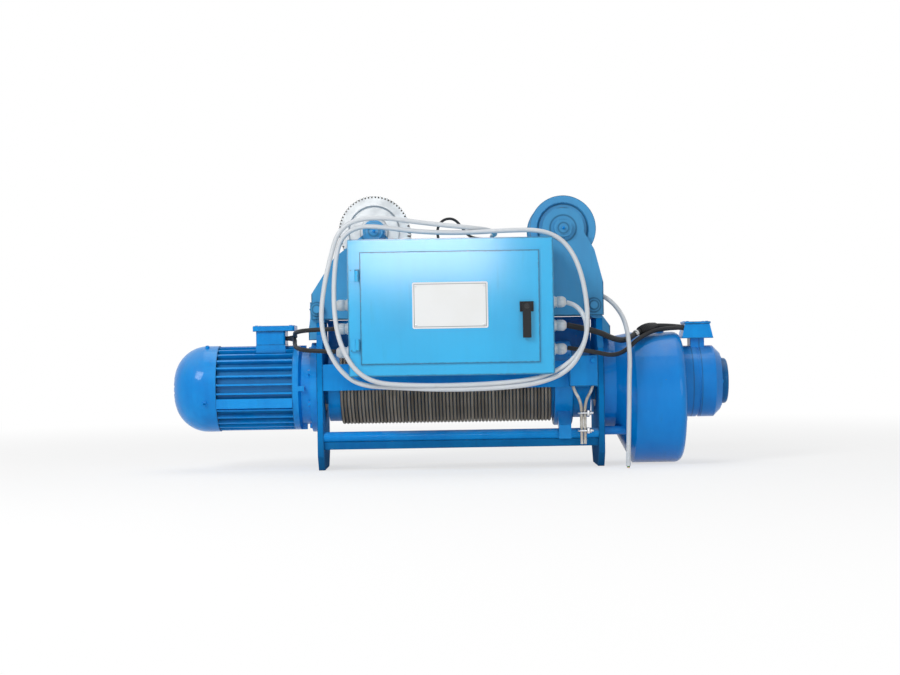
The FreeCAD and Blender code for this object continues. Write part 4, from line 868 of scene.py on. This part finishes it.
class HOIST_OT_rope_end(bpy.types.Operator):
    """Lays the strands of the rope's fixed end over its pin and through the clips"""
    bl_idname = "hoist.rope_end"
    bl_label = "Rope end"

    def execute(self, context):
        radius = sizes().rope_diameter / 2
        strand = radius * 0.36
        places = line_points(ROPE_END_ROUTE)
        curve = bpy.data.curves.new("strands", "CURVE")
        curve.dimensions = "3D"
        for start in round_circle(6):
            self.strand(curve, places, start, radius - strand)
        curve.bevel_depth = strand
        curve.bevel_resolution = 2
        curve.use_fill_caps = True
        mesh = mesh_of_curve(new_object("strands", curve))
        shape = bmesh.new()
        shape.from_mesh(mesh)
        bpy.data.meshes.remove(mesh)
        rope = keep_mesh("rope_end", shape, bare_wire("rope_end_wire"), "frame")
        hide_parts("rope_dead_end")
        return {"FINISHED"}

    def strand(self, curve, places, start, away):
        """One strand that winds round the rope's line; the line lies in a plane square to Y."""
        lay = 46 * MM
        spline = curve.splines.new("POLY")
        spline.points.add(len(places) - 1)
        run = 0.0
        for index, place in enumerate(places):
            before, after = places[max(index - 1, 0)], places[min(index + 1, len(places) - 1)]
            run += (place - before).length
            depth = Vector((0, 1, 0))
            side = (after - before).normalized().cross(depth)
            angle = start + TURN * run / lay
            spot = place + (side * math.cos(angle) + depth * math.sin(angle)) * away
            spline.points[index].co = (*spot, 1.0)


class HOIST_OT_rope_clips(bpy.types.Operator):
    """Builds the two U-bolt clips on the rope's fixed end"""
    bl_idname = "hoist.rope_clips"
    bl_label = "Rope clips"

    def execute(self, context):
        low, high = corners_of("rope_clips")
        middle_x = ROPE_END_ROUTE[0][0] * MM + sizes().rope_diameter / 2
        depth = ROPE_END_ROUTE[0][1] * MM
        half_height = 6.5 * MM
        shape = bmesh.new()
        for height in (low.z + half_height, high.z - half_height):
            self.clip(shape, Vector((middle_x, depth, height)))
        clips = keep_mesh("clip_set", shape, zinc("clip_zinc"), "frame")
        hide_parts("rope_clips")
        return {"FINISHED"}

    def clip(self, shape, middle):
        """A U-bolt round both runs, its saddle, and a nut on each threaded leg."""
        rod = 2.5
        leg = 6.6
        thread_start = 18
        saddle_low = Vector((8, -11, -6.5))
        saddle_high = Vector((14, 11, 6.5))
        back = middle - Vector((4.5 * MM, 0, 0))
        self.bow(shape, back, rod * MM, leg * MM)
        slab(shape, middle + saddle_low * MM, middle + saddle_high * MM, 1.6 * MM)
        ridges = [(rod - 0.35 * (step % 2), thread_start + step * 0.5) for step in range(19)]
        profile = [(rod, 0), (rod, thread_start), *ridges, (0, ridges[-1][1] + 0.6)]
        for side in (-leg, leg):
            aside = Vector((0, side * MM, 0))
            nut = middle + aside + Vector((saddle_high.x * MM, 0, 0))
            lathe(shape, profile, toward(back + aside, (1, 0, 0)), 12)
            prism(shape, 4.9, 4.4, toward(nut, (1, 0, 0)))

    def bow(self, shape, centre, radius, leg):
        """The half ring at the back of a U-bolt."""
        made = bmesh.new()
        stand = Matrix.Translation((0, leg, 0)) @ Matrix.Rotation(math.pi / 2, 4, "Y")
        bmesh.ops.create_circle(made, segments=12, radius=radius, matrix=stand)
        bmesh.ops.spin(made, geom=made.verts[:] + made.edges[:], cent=(0, 0, 0), axis=(0, 0, 1),
                       angle=math.pi, steps=14)
        add(shape, made, Matrix.Translation(centre))


class HOIST_OT_glands(bpy.types.Operator):
    """Builds the six cable glands on the sides of the control box"""
    bl_idname = "hoist.glands"
    bl_label = "Cable glands"

    def execute(self, context):
        low, high = corners_of("cable_glands")
        middle = (low + high) / 2
        half = (high.y - low.y) / 2
        shape = bmesh.new()
        for height in (low.z + half, middle.z, high.z - half):
            for side, face in ((-1, BOX_LOW.x), (1, BOX_HIGH.x)):
                self.gland(shape, toward((face, middle.y, height), (side, 0, 0)))
        nylon = plastic("gland_nylon", colours().nylon, (0.40, 0.41, 0.40), 700.0, 0.38)
        glands = keep_mesh("gland_set", shape, nylon, "frame")
        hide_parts("cable_glands")
        return {"FINISHED"}

    def gland(self, shape, stand):
        """A hex base, a collar and a domed nut with grips."""
        prism(shape, 13.2, 6, stand)
        lathe(shape, [(10.6, 6), (11.4, 6.6), (11.4, 9), (10.6, 9.6)], stand, 32)
        nut = turned([(10.4, 9.6), (12.4, 10.2), (12.4, 22), (11.2, 25.5), (8.6, 28.6), (7.2, 30),
                      (5.4, 30.4), (4.4, 29)], 48)
        grip_start = 10 * MM
        grip_end = 23 * MM
        grips = [corner for corner in nut.verts
                 if grip_start < corner.co.z < grip_end and self.in_groove(corner.co)]
        bmesh.ops.scale(nut, vec=(0.93, 0.93, 1.0), verts=grips)
        add(shape, nut, stand)

    def in_groove(self, place):
        grooves = 12
        return math.cos(math.atan2(place.y, place.x) * grooves) < -0.5


class HOIST_OT_bolts(bpy.types.Operator):
    """Sets the bolts, screws and grease nipples of motor, gearbox, brake, lids, anchor and axles"""
    bl_idname = "hoist.bolts"
    bl_label = "Bolts and screws"

    def execute(self, context):
        painted = bmesh.new()
        self.motor_flange(painted)
        self.gearbox_end(painted)
        self.brake_end(painted)
        self.cowl_screws(painted)
        self.anchor_bolts(painted)
        for lid, inset in (("motor_terminal_lid", 9 * MM), ("brake_terminal_lid", 8 * MM)):
            self.lid_screws(painted, lid, inset)
        self.grease_nipples(painted)
        keep_mesh("painted_bolts", painted, enamel("bolt_enamel", dusty=0.2), "frame", False)
        return {"FINISHED"}

    def around(self, place, height, radius, count, start):
        """Places on a circle square to X."""
        for angle in round_circle(count, start):
            yield Vector((place, radius * math.cos(angle), height + radius * math.sin(angle)))

    def motor_flange(self, shape):
        flange_thick = 16 * MM
        bolt_circle = 95 * MM
        face = high_of("motor_end_shield").x - flange_thick
        for place in self.around(face, AXIS.z, bolt_circle, 8, TURN / 16):
            hex_bolt(shape, place, (-1, 0, 0), 7)

    def gearbox_end(self, shape):
        low, high = corners_of("gearbox_cover")
        sunk = 8 * MM
        screw_circle = 118 * MM
        for place in self.around(high.x - sunk, (low.z + high.z) / 2, screw_circle, 8, TURN / 16):
            socket_screw(shape, place, (1, 0, 0), 10)

    def brake_end(self, shape):
        sunk = 4 * MM
        screw_circle = 60 * MM
        for place in self.around(high_of("brake_housing").x - sunk, AXIS.z, screw_circle, 6, 0.0):
            socket_screw(shape, place, (1, 0, 0), 6)

    def cowl_screws(self, shape):
        cowl = high_of("fan_cowl")
        from_edge = 26 * MM
        radius = cowl.z - AXIS.z - 0.4 * MM
        centre = Vector((cowl.x - from_edge, AXIS.y, AXIS.z))
        for angle in round_circle(4, -math.radians(162)):
            out = Vector((0, math.cos(angle), math.sin(angle)))
            socket_screw(shape, centre + out * radius, out, 6)

    def anchor_bolts(self, shape):
        low, high = corners_of("rope_anchor")
        from_side = 11 * MM
        height = high.z - 12 * MM
        for across in (low.x + from_side, high.x - from_side):
            hex_bolt(shape, (across, low.y, height), (0, -1, 0), 7)

    def lid_screws(self, shape, lid, inset):
        low, high = corners_of(lid)
        sunk = 3.4 * MM
        for across in (low.x + inset, high.x - inset):
            for depth in (low.y + inset, high.y - inset):
                socket_screw(shape, (across, depth, high.z - sunk), (0, 0, 1), 4.5)

    def grease_nipples(self, shape):
        face = low_of("wheel_axles").y
        profile = [(3.6, 0), (3.6, 2.5), (2.4, 3), (2.4, 5), (3.1, 6), (2.6, 7.4), (1.2, 8), (0, 8)]
        for axle in (LEFT_AXLE, RIGHT_AXLE):
            lathe(shape, profile, toward((axle.x, face, axle.z), (0, -1, 0)), 16)


class HOIST_OT_tooth_gap_shade(bpy.types.Operator):
    """Fills the tooth gaps of the drive wheels with a dark ring: painted shade in the gaps"""
    bl_idname = "hoist.tooth_grease"
    bl_label = "Tooth gap shade"

    def execute(self, context):
        # A dark ring between the roots and crowns of the teeth: painted shade in the tooth gaps.
        grease = plastic("gap_shade_finish", colours().grease, (0.09, 0.08, 0.06), 300.0, 0.35)
        for side in ("front", "rear"):
            low, high = corners_of(f"{side}_drive_wheel")
            tip = (high.z - low.z) / 2 / MM
            root, shoulder, crown = tip - 6, tip - 2.4, tip - 1.4
            outer, inward = (low.y, 1) if side == "front" else (high.y, -1)
            profile = [(root, 3), (shoulder, 3), (crown, 5), (crown, 9), (shoulder, 11), (root, 11)]
            shape = bmesh.new()
            lathe(shape, profile, toward((LEFT_AXLE.x, outer, LEFT_AXLE.z), (0, inward, 0)), 96)
            keep_mesh(f"{side}_tooth_grease", shape, grease, f"{side}_drive")
        return {"FINISHED"}


class HOIST_OT_name_plate(bpy.types.Operator):
    """Puts the blank white plate with its rivets on the door"""
    bl_idname = "hoist.name_plate"
    bl_label = "Name plate"

    def execute(self, context):
        size = Vector((165, 1.2, 101)) * MM
        aside = Vector((0.5, 0, 4.5)) * MM
        middle = Vector((DOOR_MIDDLE.x, DOOR_LOW.y - size.y / 2, DOOR_MIDDLE.z)) + aside
        low = middle - size / 2
        high = middle + size / 2
        self.sheet(low, high)
        self.rivets(low, high)
        return {"FINISHED"}

    def sheet(self, low, high):
        """The plate itself, with round corners."""
        made = block(high - low)
        thick = high.y - low.y
        corners = [edge for edge in made.edges
                   if abs(edge.verts[0].co.y - edge.verts[1].co.y) > thick / 2]
        round_edges(made, corners, 4 * MM, 5)
        shape = bmesh.new()
        add(shape, made, Matrix.Translation((low + high) / 2))
        keep_mesh("blank_plate", shape, lacquer("plate_lacquer", low, high), "door", False)

    def rivets(self, low, high):
        """A domed rivet in each corner."""
        inset = 8 * MM
        dome = [(2.6, 0), (2.5, 0.6), (1.9, 1.2), (1.0, 1.5), (0, 1.6)]
        shape = bmesh.new()
        for across in (low.x + inset, high.x - inset):
            for height in (low.z + inset, high.z - inset):
                lathe(shape, dome, toward((across, low.y, height), (0, -1, 0)), 16)
        keep_mesh("plate_rivets", shape, zinc("rivet_zinc"), "door")


class HOIST_OT_control_gear(bpy.types.Operator):
    """Builds the contactors, the transformer and the terminal strip in the control box"""
    bl_idname = "hoist.control_gear"
    bl_label = "Control gear"

    def execute(self, context):
        low, high = corners_of("control_gear")
        contactor_pitch = 56 * MM
        contactor_foot = BOX_LOW.z + 170 * MM
        transformer_width = 80 * MM
        transformer_foot = BOX_LOW.z + 165 * MM
        black, pale, core, coil, screws = (bmesh.new() for _ in range(5))
        for number in range(4):
            across = low.x + number * contactor_pitch
            self.contactor(black, screws, Vector((across, high.y, contactor_foot)))
        self.transformer(core, coil, Vector((high.x - transformer_width, high.y, transformer_foot)))
        self.strip(pale, screws, Vector((low.x, high.y, low.z)), high.x - low.x)
        moulded = plastic("contactor_moulding", (0.03, 0.031, 0.033), (0.10, 0.10, 0.10), 900.0, 0.45)
        bodies = keep_mesh("contactors", black, moulded, "frame", False)
        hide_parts("control_gear")
        cream = plastic("strip_moulding", (0.50, 0.49, 0.44), (0.28, 0.27, 0.24), 900.0, 0.5)
        keep_mesh("terminal_strip", pale, cream, "frame", False)
        keep_mesh("transformer_core", core, laminated("transformer_sheets"), "frame", False)
        varnished = plastic("coil_varnish", (0.30, 0.13, 0.04), (0.12, 0.06, 0.03), 400.0, 0.35)
        keep_mesh("transformer_coil", coil, varnished, "frame", False)
        keep_mesh("gear_screws", screws, zinc("gear_screw_zinc"), "frame", False)
        return {"FINISHED"}

    def part(self, shape, corner, low, high, round_off):
        """A block whose corners are given in millimetres from a corner of its device."""
        slab(shape, corner + Vector(low) * MM, corner + Vector(high) * MM, round_off * MM)

    def contactor(self, shape, screws, corner):
        """A base, two stepped blocks, ribs between the poles and a row of screws above and below."""
        self.part(shape, corner, (0, -36, 0), (48, 0, 82), 1.2)
        self.part(shape, corner, (2, -62, 15), (46, -35, 67), 2.0)
        self.part(shape, corner, (11, -78, 24), (37, -61, 58), 2.0)
        for column in range(4):
            self.part(shape, corner, (1 + 14 * column, -46, 1), (3.6 + 14 * column, -35, 81), 0.5)
        for column in range(3):
            for height in (8, 74):
                place = corner + Vector((9 + 15 * column, -36, height)) * MM
                socket_screw(screws, place, (0, -1, 0), 5)

    def transformer(self, core, coil, corner):
        """Two legs, a yoke and a foot of stacked sheets round a wound coil."""
        self.part(core, corner, (0, -62, 10), (14, -4, 70), 0.8)
        self.part(core, corner, (66, -62, 10), (80, -4, 70), 0.8)
        self.part(core, corner, (0, -48, 10), (80, -18, 70), 0.8)
        self.part(core, corner, (0, -4, 4), (80, 0, 76), 0.8)
        self.part(coil, corner, (15, -70, 2), (65, -6, 78), 5.0)

    def strip(self, shape, screws, corner, width):
        """A row of stepped terminal blocks with a screw above and below in each."""
        count = 26
        wide = width / MM / count
        for number in range(count):
            left = number * wide
            self.part(shape, corner, (left + 0.3, -30, 0), (left + wide - 0.3, 0, 40), 0.6)
            self.part(shape, corner, (left + 0.3, -42, 13), (left + wide - 0.3, -29, 27), 1.0)
            for height in (6.5, 33.5):
                socket_screw(screws, corner + Vector((left + wide / 2, -30, height)) * MM, (0, -1, 0), 4)


class HOIST_OT_door_lock(bpy.types.Operator):
    """Sets the lock's key cylinder in the head of the door handle"""
    bl_idname = "hoist.door_lock"
    bl_label = "Door lock"

    def execute(self, context):
        low, high = corners_of("door_handle")
        hub = (high.x - low.x) / 2
        place = Vector(((low.x + high.x) / 2, low.y, high.z - hub))
        rim = [(0, 0.4), (4.2, 0.4), (4.2, 1.2), (5.6, 1.2), (6.0, 0.8), (6.0, 0)]
        shape = bmesh.new()
        lathe(shape, rim, toward(place, (0, -1, 0)), 28)
        slab(shape, place + Vector((-0.6, -0.8, -3)) * MM, place + Vector((0.6, -0.3, 3)) * MM, 0.1 * MM)
        blackened = plastic("lock_black", (0.022, 0.023, 0.025), (0.06, 0.06, 0.06), 900.0, 0.32,
                            shine=0.25)
        keep_mesh("key_cylinder", shape, blackened, "handle", False)
        return {"FINISHED"}


class HOIST_OT_door_seal(bpy.types.Operator):
    """Runs the black seal round the back of the door"""
    bl_idname = "hoist.door_seal"
    bl_label = "Door seal"

    def execute(self, context):
        inset = 11 * MM
        wide = 8 * MM
        thick = 4 * MM
        soft = 1.2 * MM
        outline = DOOR_HIGH - DOOR_LOW - Vector((1, 1, 1)) * 2 * inset
        made = bmesh.new()
        bmesh.ops.create_grid(made, x_segments=1, y_segments=1, size=0.5)
        bmesh.ops.scale(made, vec=(outline.x, outline.z, 1.0), verts=made.verts)
        middle = made.faces[:]
        bmesh.ops.inset_region(made, faces=middle, thickness=wide, use_boundary=True, use_even_offset=True)
        bmesh.ops.delete(made, geom=middle, context="FACES")
        bmesh.ops.solidify(made, geom=made.faces[:], thickness=thick)
        deepest = max(corner.co.z for corner in made.verts)
        bmesh.ops.translate(made, vec=(0, 0, -deepest), verts=made.verts)
        round_edges(made, made.edges[:], soft, 2)
        shape = bmesh.new()
        place = Matrix.Translation((DOOR_MIDDLE.x, DOOR_HIGH.y, DOOR_MIDDLE.z))
        add(shape, made, place @ Matrix.Rotation(math.pi / 2, 4, "X"))
        rubber = plastic("seal_rubber", colours().rubber, (0.03, 0.03, 0.04), 800.0, 0.75)
        keep_mesh("door_seal", shape, rubber, "door", False)
        return {"FINISHED"}


class HOIST_OT_cable_ends(bpy.types.Operator):
    """Bares the cut end of the grey cable: four cores with copper in each"""
    bl_idname = "hoist.cable_ends"
    bl_label = "Cable's cut end"

    def execute(self, context):
        end = Vector(TAIL_ROUTE[-1]) * MM
        core_circle = 2.1 * MM
        core_profile = [(0, -1), (1.5, -1), (1.5, 2.6), (1.3, 2.8), (0, 2.8)]
        copper_profile = [(0, 2), (0.9, 2), (0.9, 4.4), (0.6, 4.7), (0, 4.8)]
        copper = bmesh.new()
        for (name, tint), angle in zip(CORE_TINTS.items(), round_circle(len(CORE_TINTS))):
            away = Vector((math.cos(angle), math.sin(angle), 0)) * core_circle
            stand = toward(end + away, (0, 0, -1))
            core = bmesh.new()
            lathe(core, core_profile, stand, 14)
            coat = plastic(f"{name}_core", tint, (0.12, 0.12, 0.12), 900.0, 0.45)
            keep_mesh(f"{name}_core", core, coat, "frame")
            lathe(copper, copper_profile, stand, 12)
        keep_mesh("bare_copper", copper, cored("cut_copper"), "frame")
        return {"FINISHED"}


class HOIST_OT_conduit_dress(bpy.types.Operator):
    """Winds tape round the conduit over the gearbox and sets a cable tie beside it"""
    bl_idname = "hoist.conduit_dress"
    bl_label = "Tape and tie"

    def execute(self, context):
        tape_start = 436 * MM
        tape_end = 478 * MM
        tie_across = 428 * MM
        places = line_points(CONDUIT_ROUTE)
        covered = [place for place in places if tape_start < place.x < tape_end]
        self.sleeve(covered, sizes().conduit_radius)
        tied = min(range(len(places)), key=lambda index: abs(places[index].x - tie_across))
        self.tie(places[tied], places[tied + 1] - places[tied - 1])
        return {"FINISHED"}

    def sleeve(self, covered, inside):
        """Tape wound thickly over the conduit, its laps in steps and its ends tapered."""
        shape = bmesh.new()
        along = (covered[-1] - covered[0]).normalized()
        length = (covered[-1] - covered[0]).length / MM
        bore = inside / MM + 0.2
        laps = 12
        profile = [(bore, 0)]
        for lap in range(laps):
            rim = bore + 2 + 4.5 * math.sin(math.pi * (lap + 1) / (laps + 1))
            profile += [(rim, length * lap / laps), (rim - 0.7, length * (lap + 0.9) / laps)]
        lathe(shape, [*profile, (bore, length)], toward(covered[0], along), 28)
        rubber = plastic("sleeve_rubber", colours().rubber, (0.05, 0.05, 0.05), 500.0, 0.42, shine=0.2)
        keep_mesh("conduit_sleeve", shape, rubber, "frame", False)

    def tie(self, place, along):
        """A band round the conduit with its head in front and its tail to the left."""
        shape = bmesh.new()
        inner = sizes().conduit_radius / MM + 0.1
        outer = inner + 1.1
        half = 2
        band = [(inner, -half), (outer, -half), (outer, half), (inner, half), (inner, -half)]
        lathe(shape, band, toward(place, along), 32)
        front = place - Vector((0, sizes().conduit_radius + 1 * MM, 0))
        head = Vector((-3, -3, -3.5)), Vector((3, 1.5, 3.5))
        tail = Vector((-19, -2.2, -5)), Vector((-2, -1.0, -2))
        for (low, high), round_off in ((head, 0.8 * MM), (tail, 0.4 * MM)):
            slab(shape, front + low * MM, front + high * MM, round_off)
        white = plastic("tie_nylon", (0.80, 0.81, 0.80), (0.5, 0.5, 0.48), 900.0, 0.4)
        keep_mesh("cable_tie", shape, white, "frame", False)


class HOIST_OT_stage(bpy.types.Operator):
    """Sets the floor, the white world, the soft lights and the camera"""
    bl_idname = "hoist.stage"
    bl_label = "Stage"

    # Each lamp's place in metres, power in watts and width in metres
    lamps = {
        "key": ((-2.0, -2.8, 2.5), 80.0, 1.4),
        "fill": ((2.6, -3.4, 1.4), 28.0, 2.0),
        "top": ((0.0, 0.4, 3.0), 24.0, 2.2),
        "panel": ((-0.12, -5.8, 0.98), 25.0, 0.75),
    }

    def execute(self, context):
        self.floor()
        self.world(context.scene)
        for name, (place, power, width) in self.lamps.items():
            self.light(name, place, power, width)
        self.camera(context.scene)
        return {"FINISHED"}

    def floor(self):
        """A pale floor that is lit near the object and plain white further away."""
        near_grey = (0.90, 0.90, 0.90)
        pale_grey = (0.92, 0.92, 0.92)
        shape = bmesh.new()
        bmesh.ops.create_grid(shape, x_segments=8, y_segments=8, size=30.0)
        floor = new_object("floor", mesh_from("floor", shape))
        finish = Finish("pale_floor", roughness=0.9)
        cloud = finish.noise(0.8, 2.0)
        lit = finish.shade(base_color=finish.mix(cloud, near_grey, pale_grey))
        shaded_radius = 0.7
        white_radius = 3.0
        away = (finish.x * finish.x + finish.y * finish.y).math("SQRT").step(shaded_radius, white_radius)
        glow = finish.node("ShaderNodeEmission", {}, {"Color": (1.0, 1.0, 1.0), "Strength": 1.0})
        white = finish.seen() * (0.65 + away * 0.35)
        shaded = Flow(finish, finish.shader.outputs[0])
        mixed = finish.node("ShaderNodeMixShader", {}, {0: white, 1: shaded, 2: glow})
        output = next(node for node in finish.tree.nodes if node.type == "OUTPUT_MATERIAL")
        finish.feed(output.inputs["Surface"], mixed)
        floor.data.materials.append(lit)

    def world(self, scene):
        """White where it is seen, and a weaker even light."""
        world = bpy.data.worlds.new("studio")
        world.use_nodes = True
        nodes = Nodes(world.node_tree)
        background = nodes.tree.nodes["Background"].inputs
        ambient = scene.hoist_view.ambient
        nodes.feed(background["Color"], (1.0, 1.0, 1.0))
        nodes.feed(background["Strength"], ambient + nodes.seen() * (1.0 - ambient))
        scene.world = world
        scene.view_settings.view_transform = "Standard"

    def light(self, name, place, power, width):
        """A square lamp that faces the middle of the object."""
        lamp = bpy.data.lights.new(name, "AREA")
        lamp.energy = power
        lamp.size = width
        target = Vector((0.0, 0.0, 0.3))
        turn = (target - Vector(place)).to_track_quat("-Z", "Y").to_matrix().to_4x4()
        holder = new_object(name, lamp)
        holder.matrix_world = Matrix.Translation(place) @ turn

    def camera(self, scene):
        """A level camera in front, rolled as in the photo."""
        view = scene.hoist_view
        lens = bpy.data.cameras.new("photo_view")
        lens.sensor_width = 36.0
        lens.lens = view.lens
        holder = new_object("photo_view", lens)
        turn = Matrix.Rotation(math.pi / 2, 4, "X") @ Matrix.Rotation(-view.roll, 4, "Z")
        holder.matrix_world = Matrix.Translation((0.0, -view.distance, view.height)) @ turn
        scene.camera = holder


class HOIST_PT_panel(bpy.types.Panel):
    """Lists the sizes, colours and steps of the hoist"""
    bl_idname = "HOIST_PT_panel"
    bl_label = "Rope Hoist"
    bl_space_type = "VIEW_3D"
    bl_region_type = "UI"
    bl_category = "Hoist"

    def draw(self, context):
        for group in (context.scene.hoist_sizes, context.scene.hoist_colours, context.scene.hoist_view):
            for name in group.__annotations__:
                self.layout.prop(group, name)
        for step in STEPS:
            self.layout.operator(step.bl_idname)


GROUPS = {"hoist_sizes": HoistSizes, "hoist_colours": HoistColours, "hoist_view": HoistView}
STEPS = (
    HOIST_OT_cable_ends, HOIST_OT_conduit_dress, HOIST_OT_grey_cable, HOIST_OT_black_leads,
    HOIST_OT_finishes, HOIST_OT_wound_rope, HOIST_OT_rope_end, HOIST_OT_rope_clips, HOIST_OT_glands,
    HOIST_OT_bolts, HOIST_OT_tooth_gap_shade, HOIST_OT_name_plate, HOIST_OT_control_gear,
    HOIST_OT_door_lock, HOIST_OT_door_seal, HOIST_OT_stage,
)


def register():
    for group in GROUPS.values():
        bpy.utils.register_class(group)
    for step in STEPS:
        bpy.utils.register_class(step)
    bpy.utils.register_class(HOIST_PT_panel)
    for name, group in GROUPS.items():
        setattr(bpy.types.Scene, name, bpy.props.PointerProperty(type=group))


def unregister():
    for name in GROUPS:
        delattr(bpy.types.Scene, name)
    bpy.utils.unregister_class(HOIST_PT_panel)
    for step in reversed(STEPS):
        bpy.utils.unregister_class(step)
    for group in reversed(GROUPS.values()):
        bpy.utils.unregister_class(group)


def main():
    register()
    for step in STEPS:
        area, name = step.bl_idname.split(".")
        getattr(getattr(bpy.ops, area), name)()


if __name__ == "__main__":
    main()
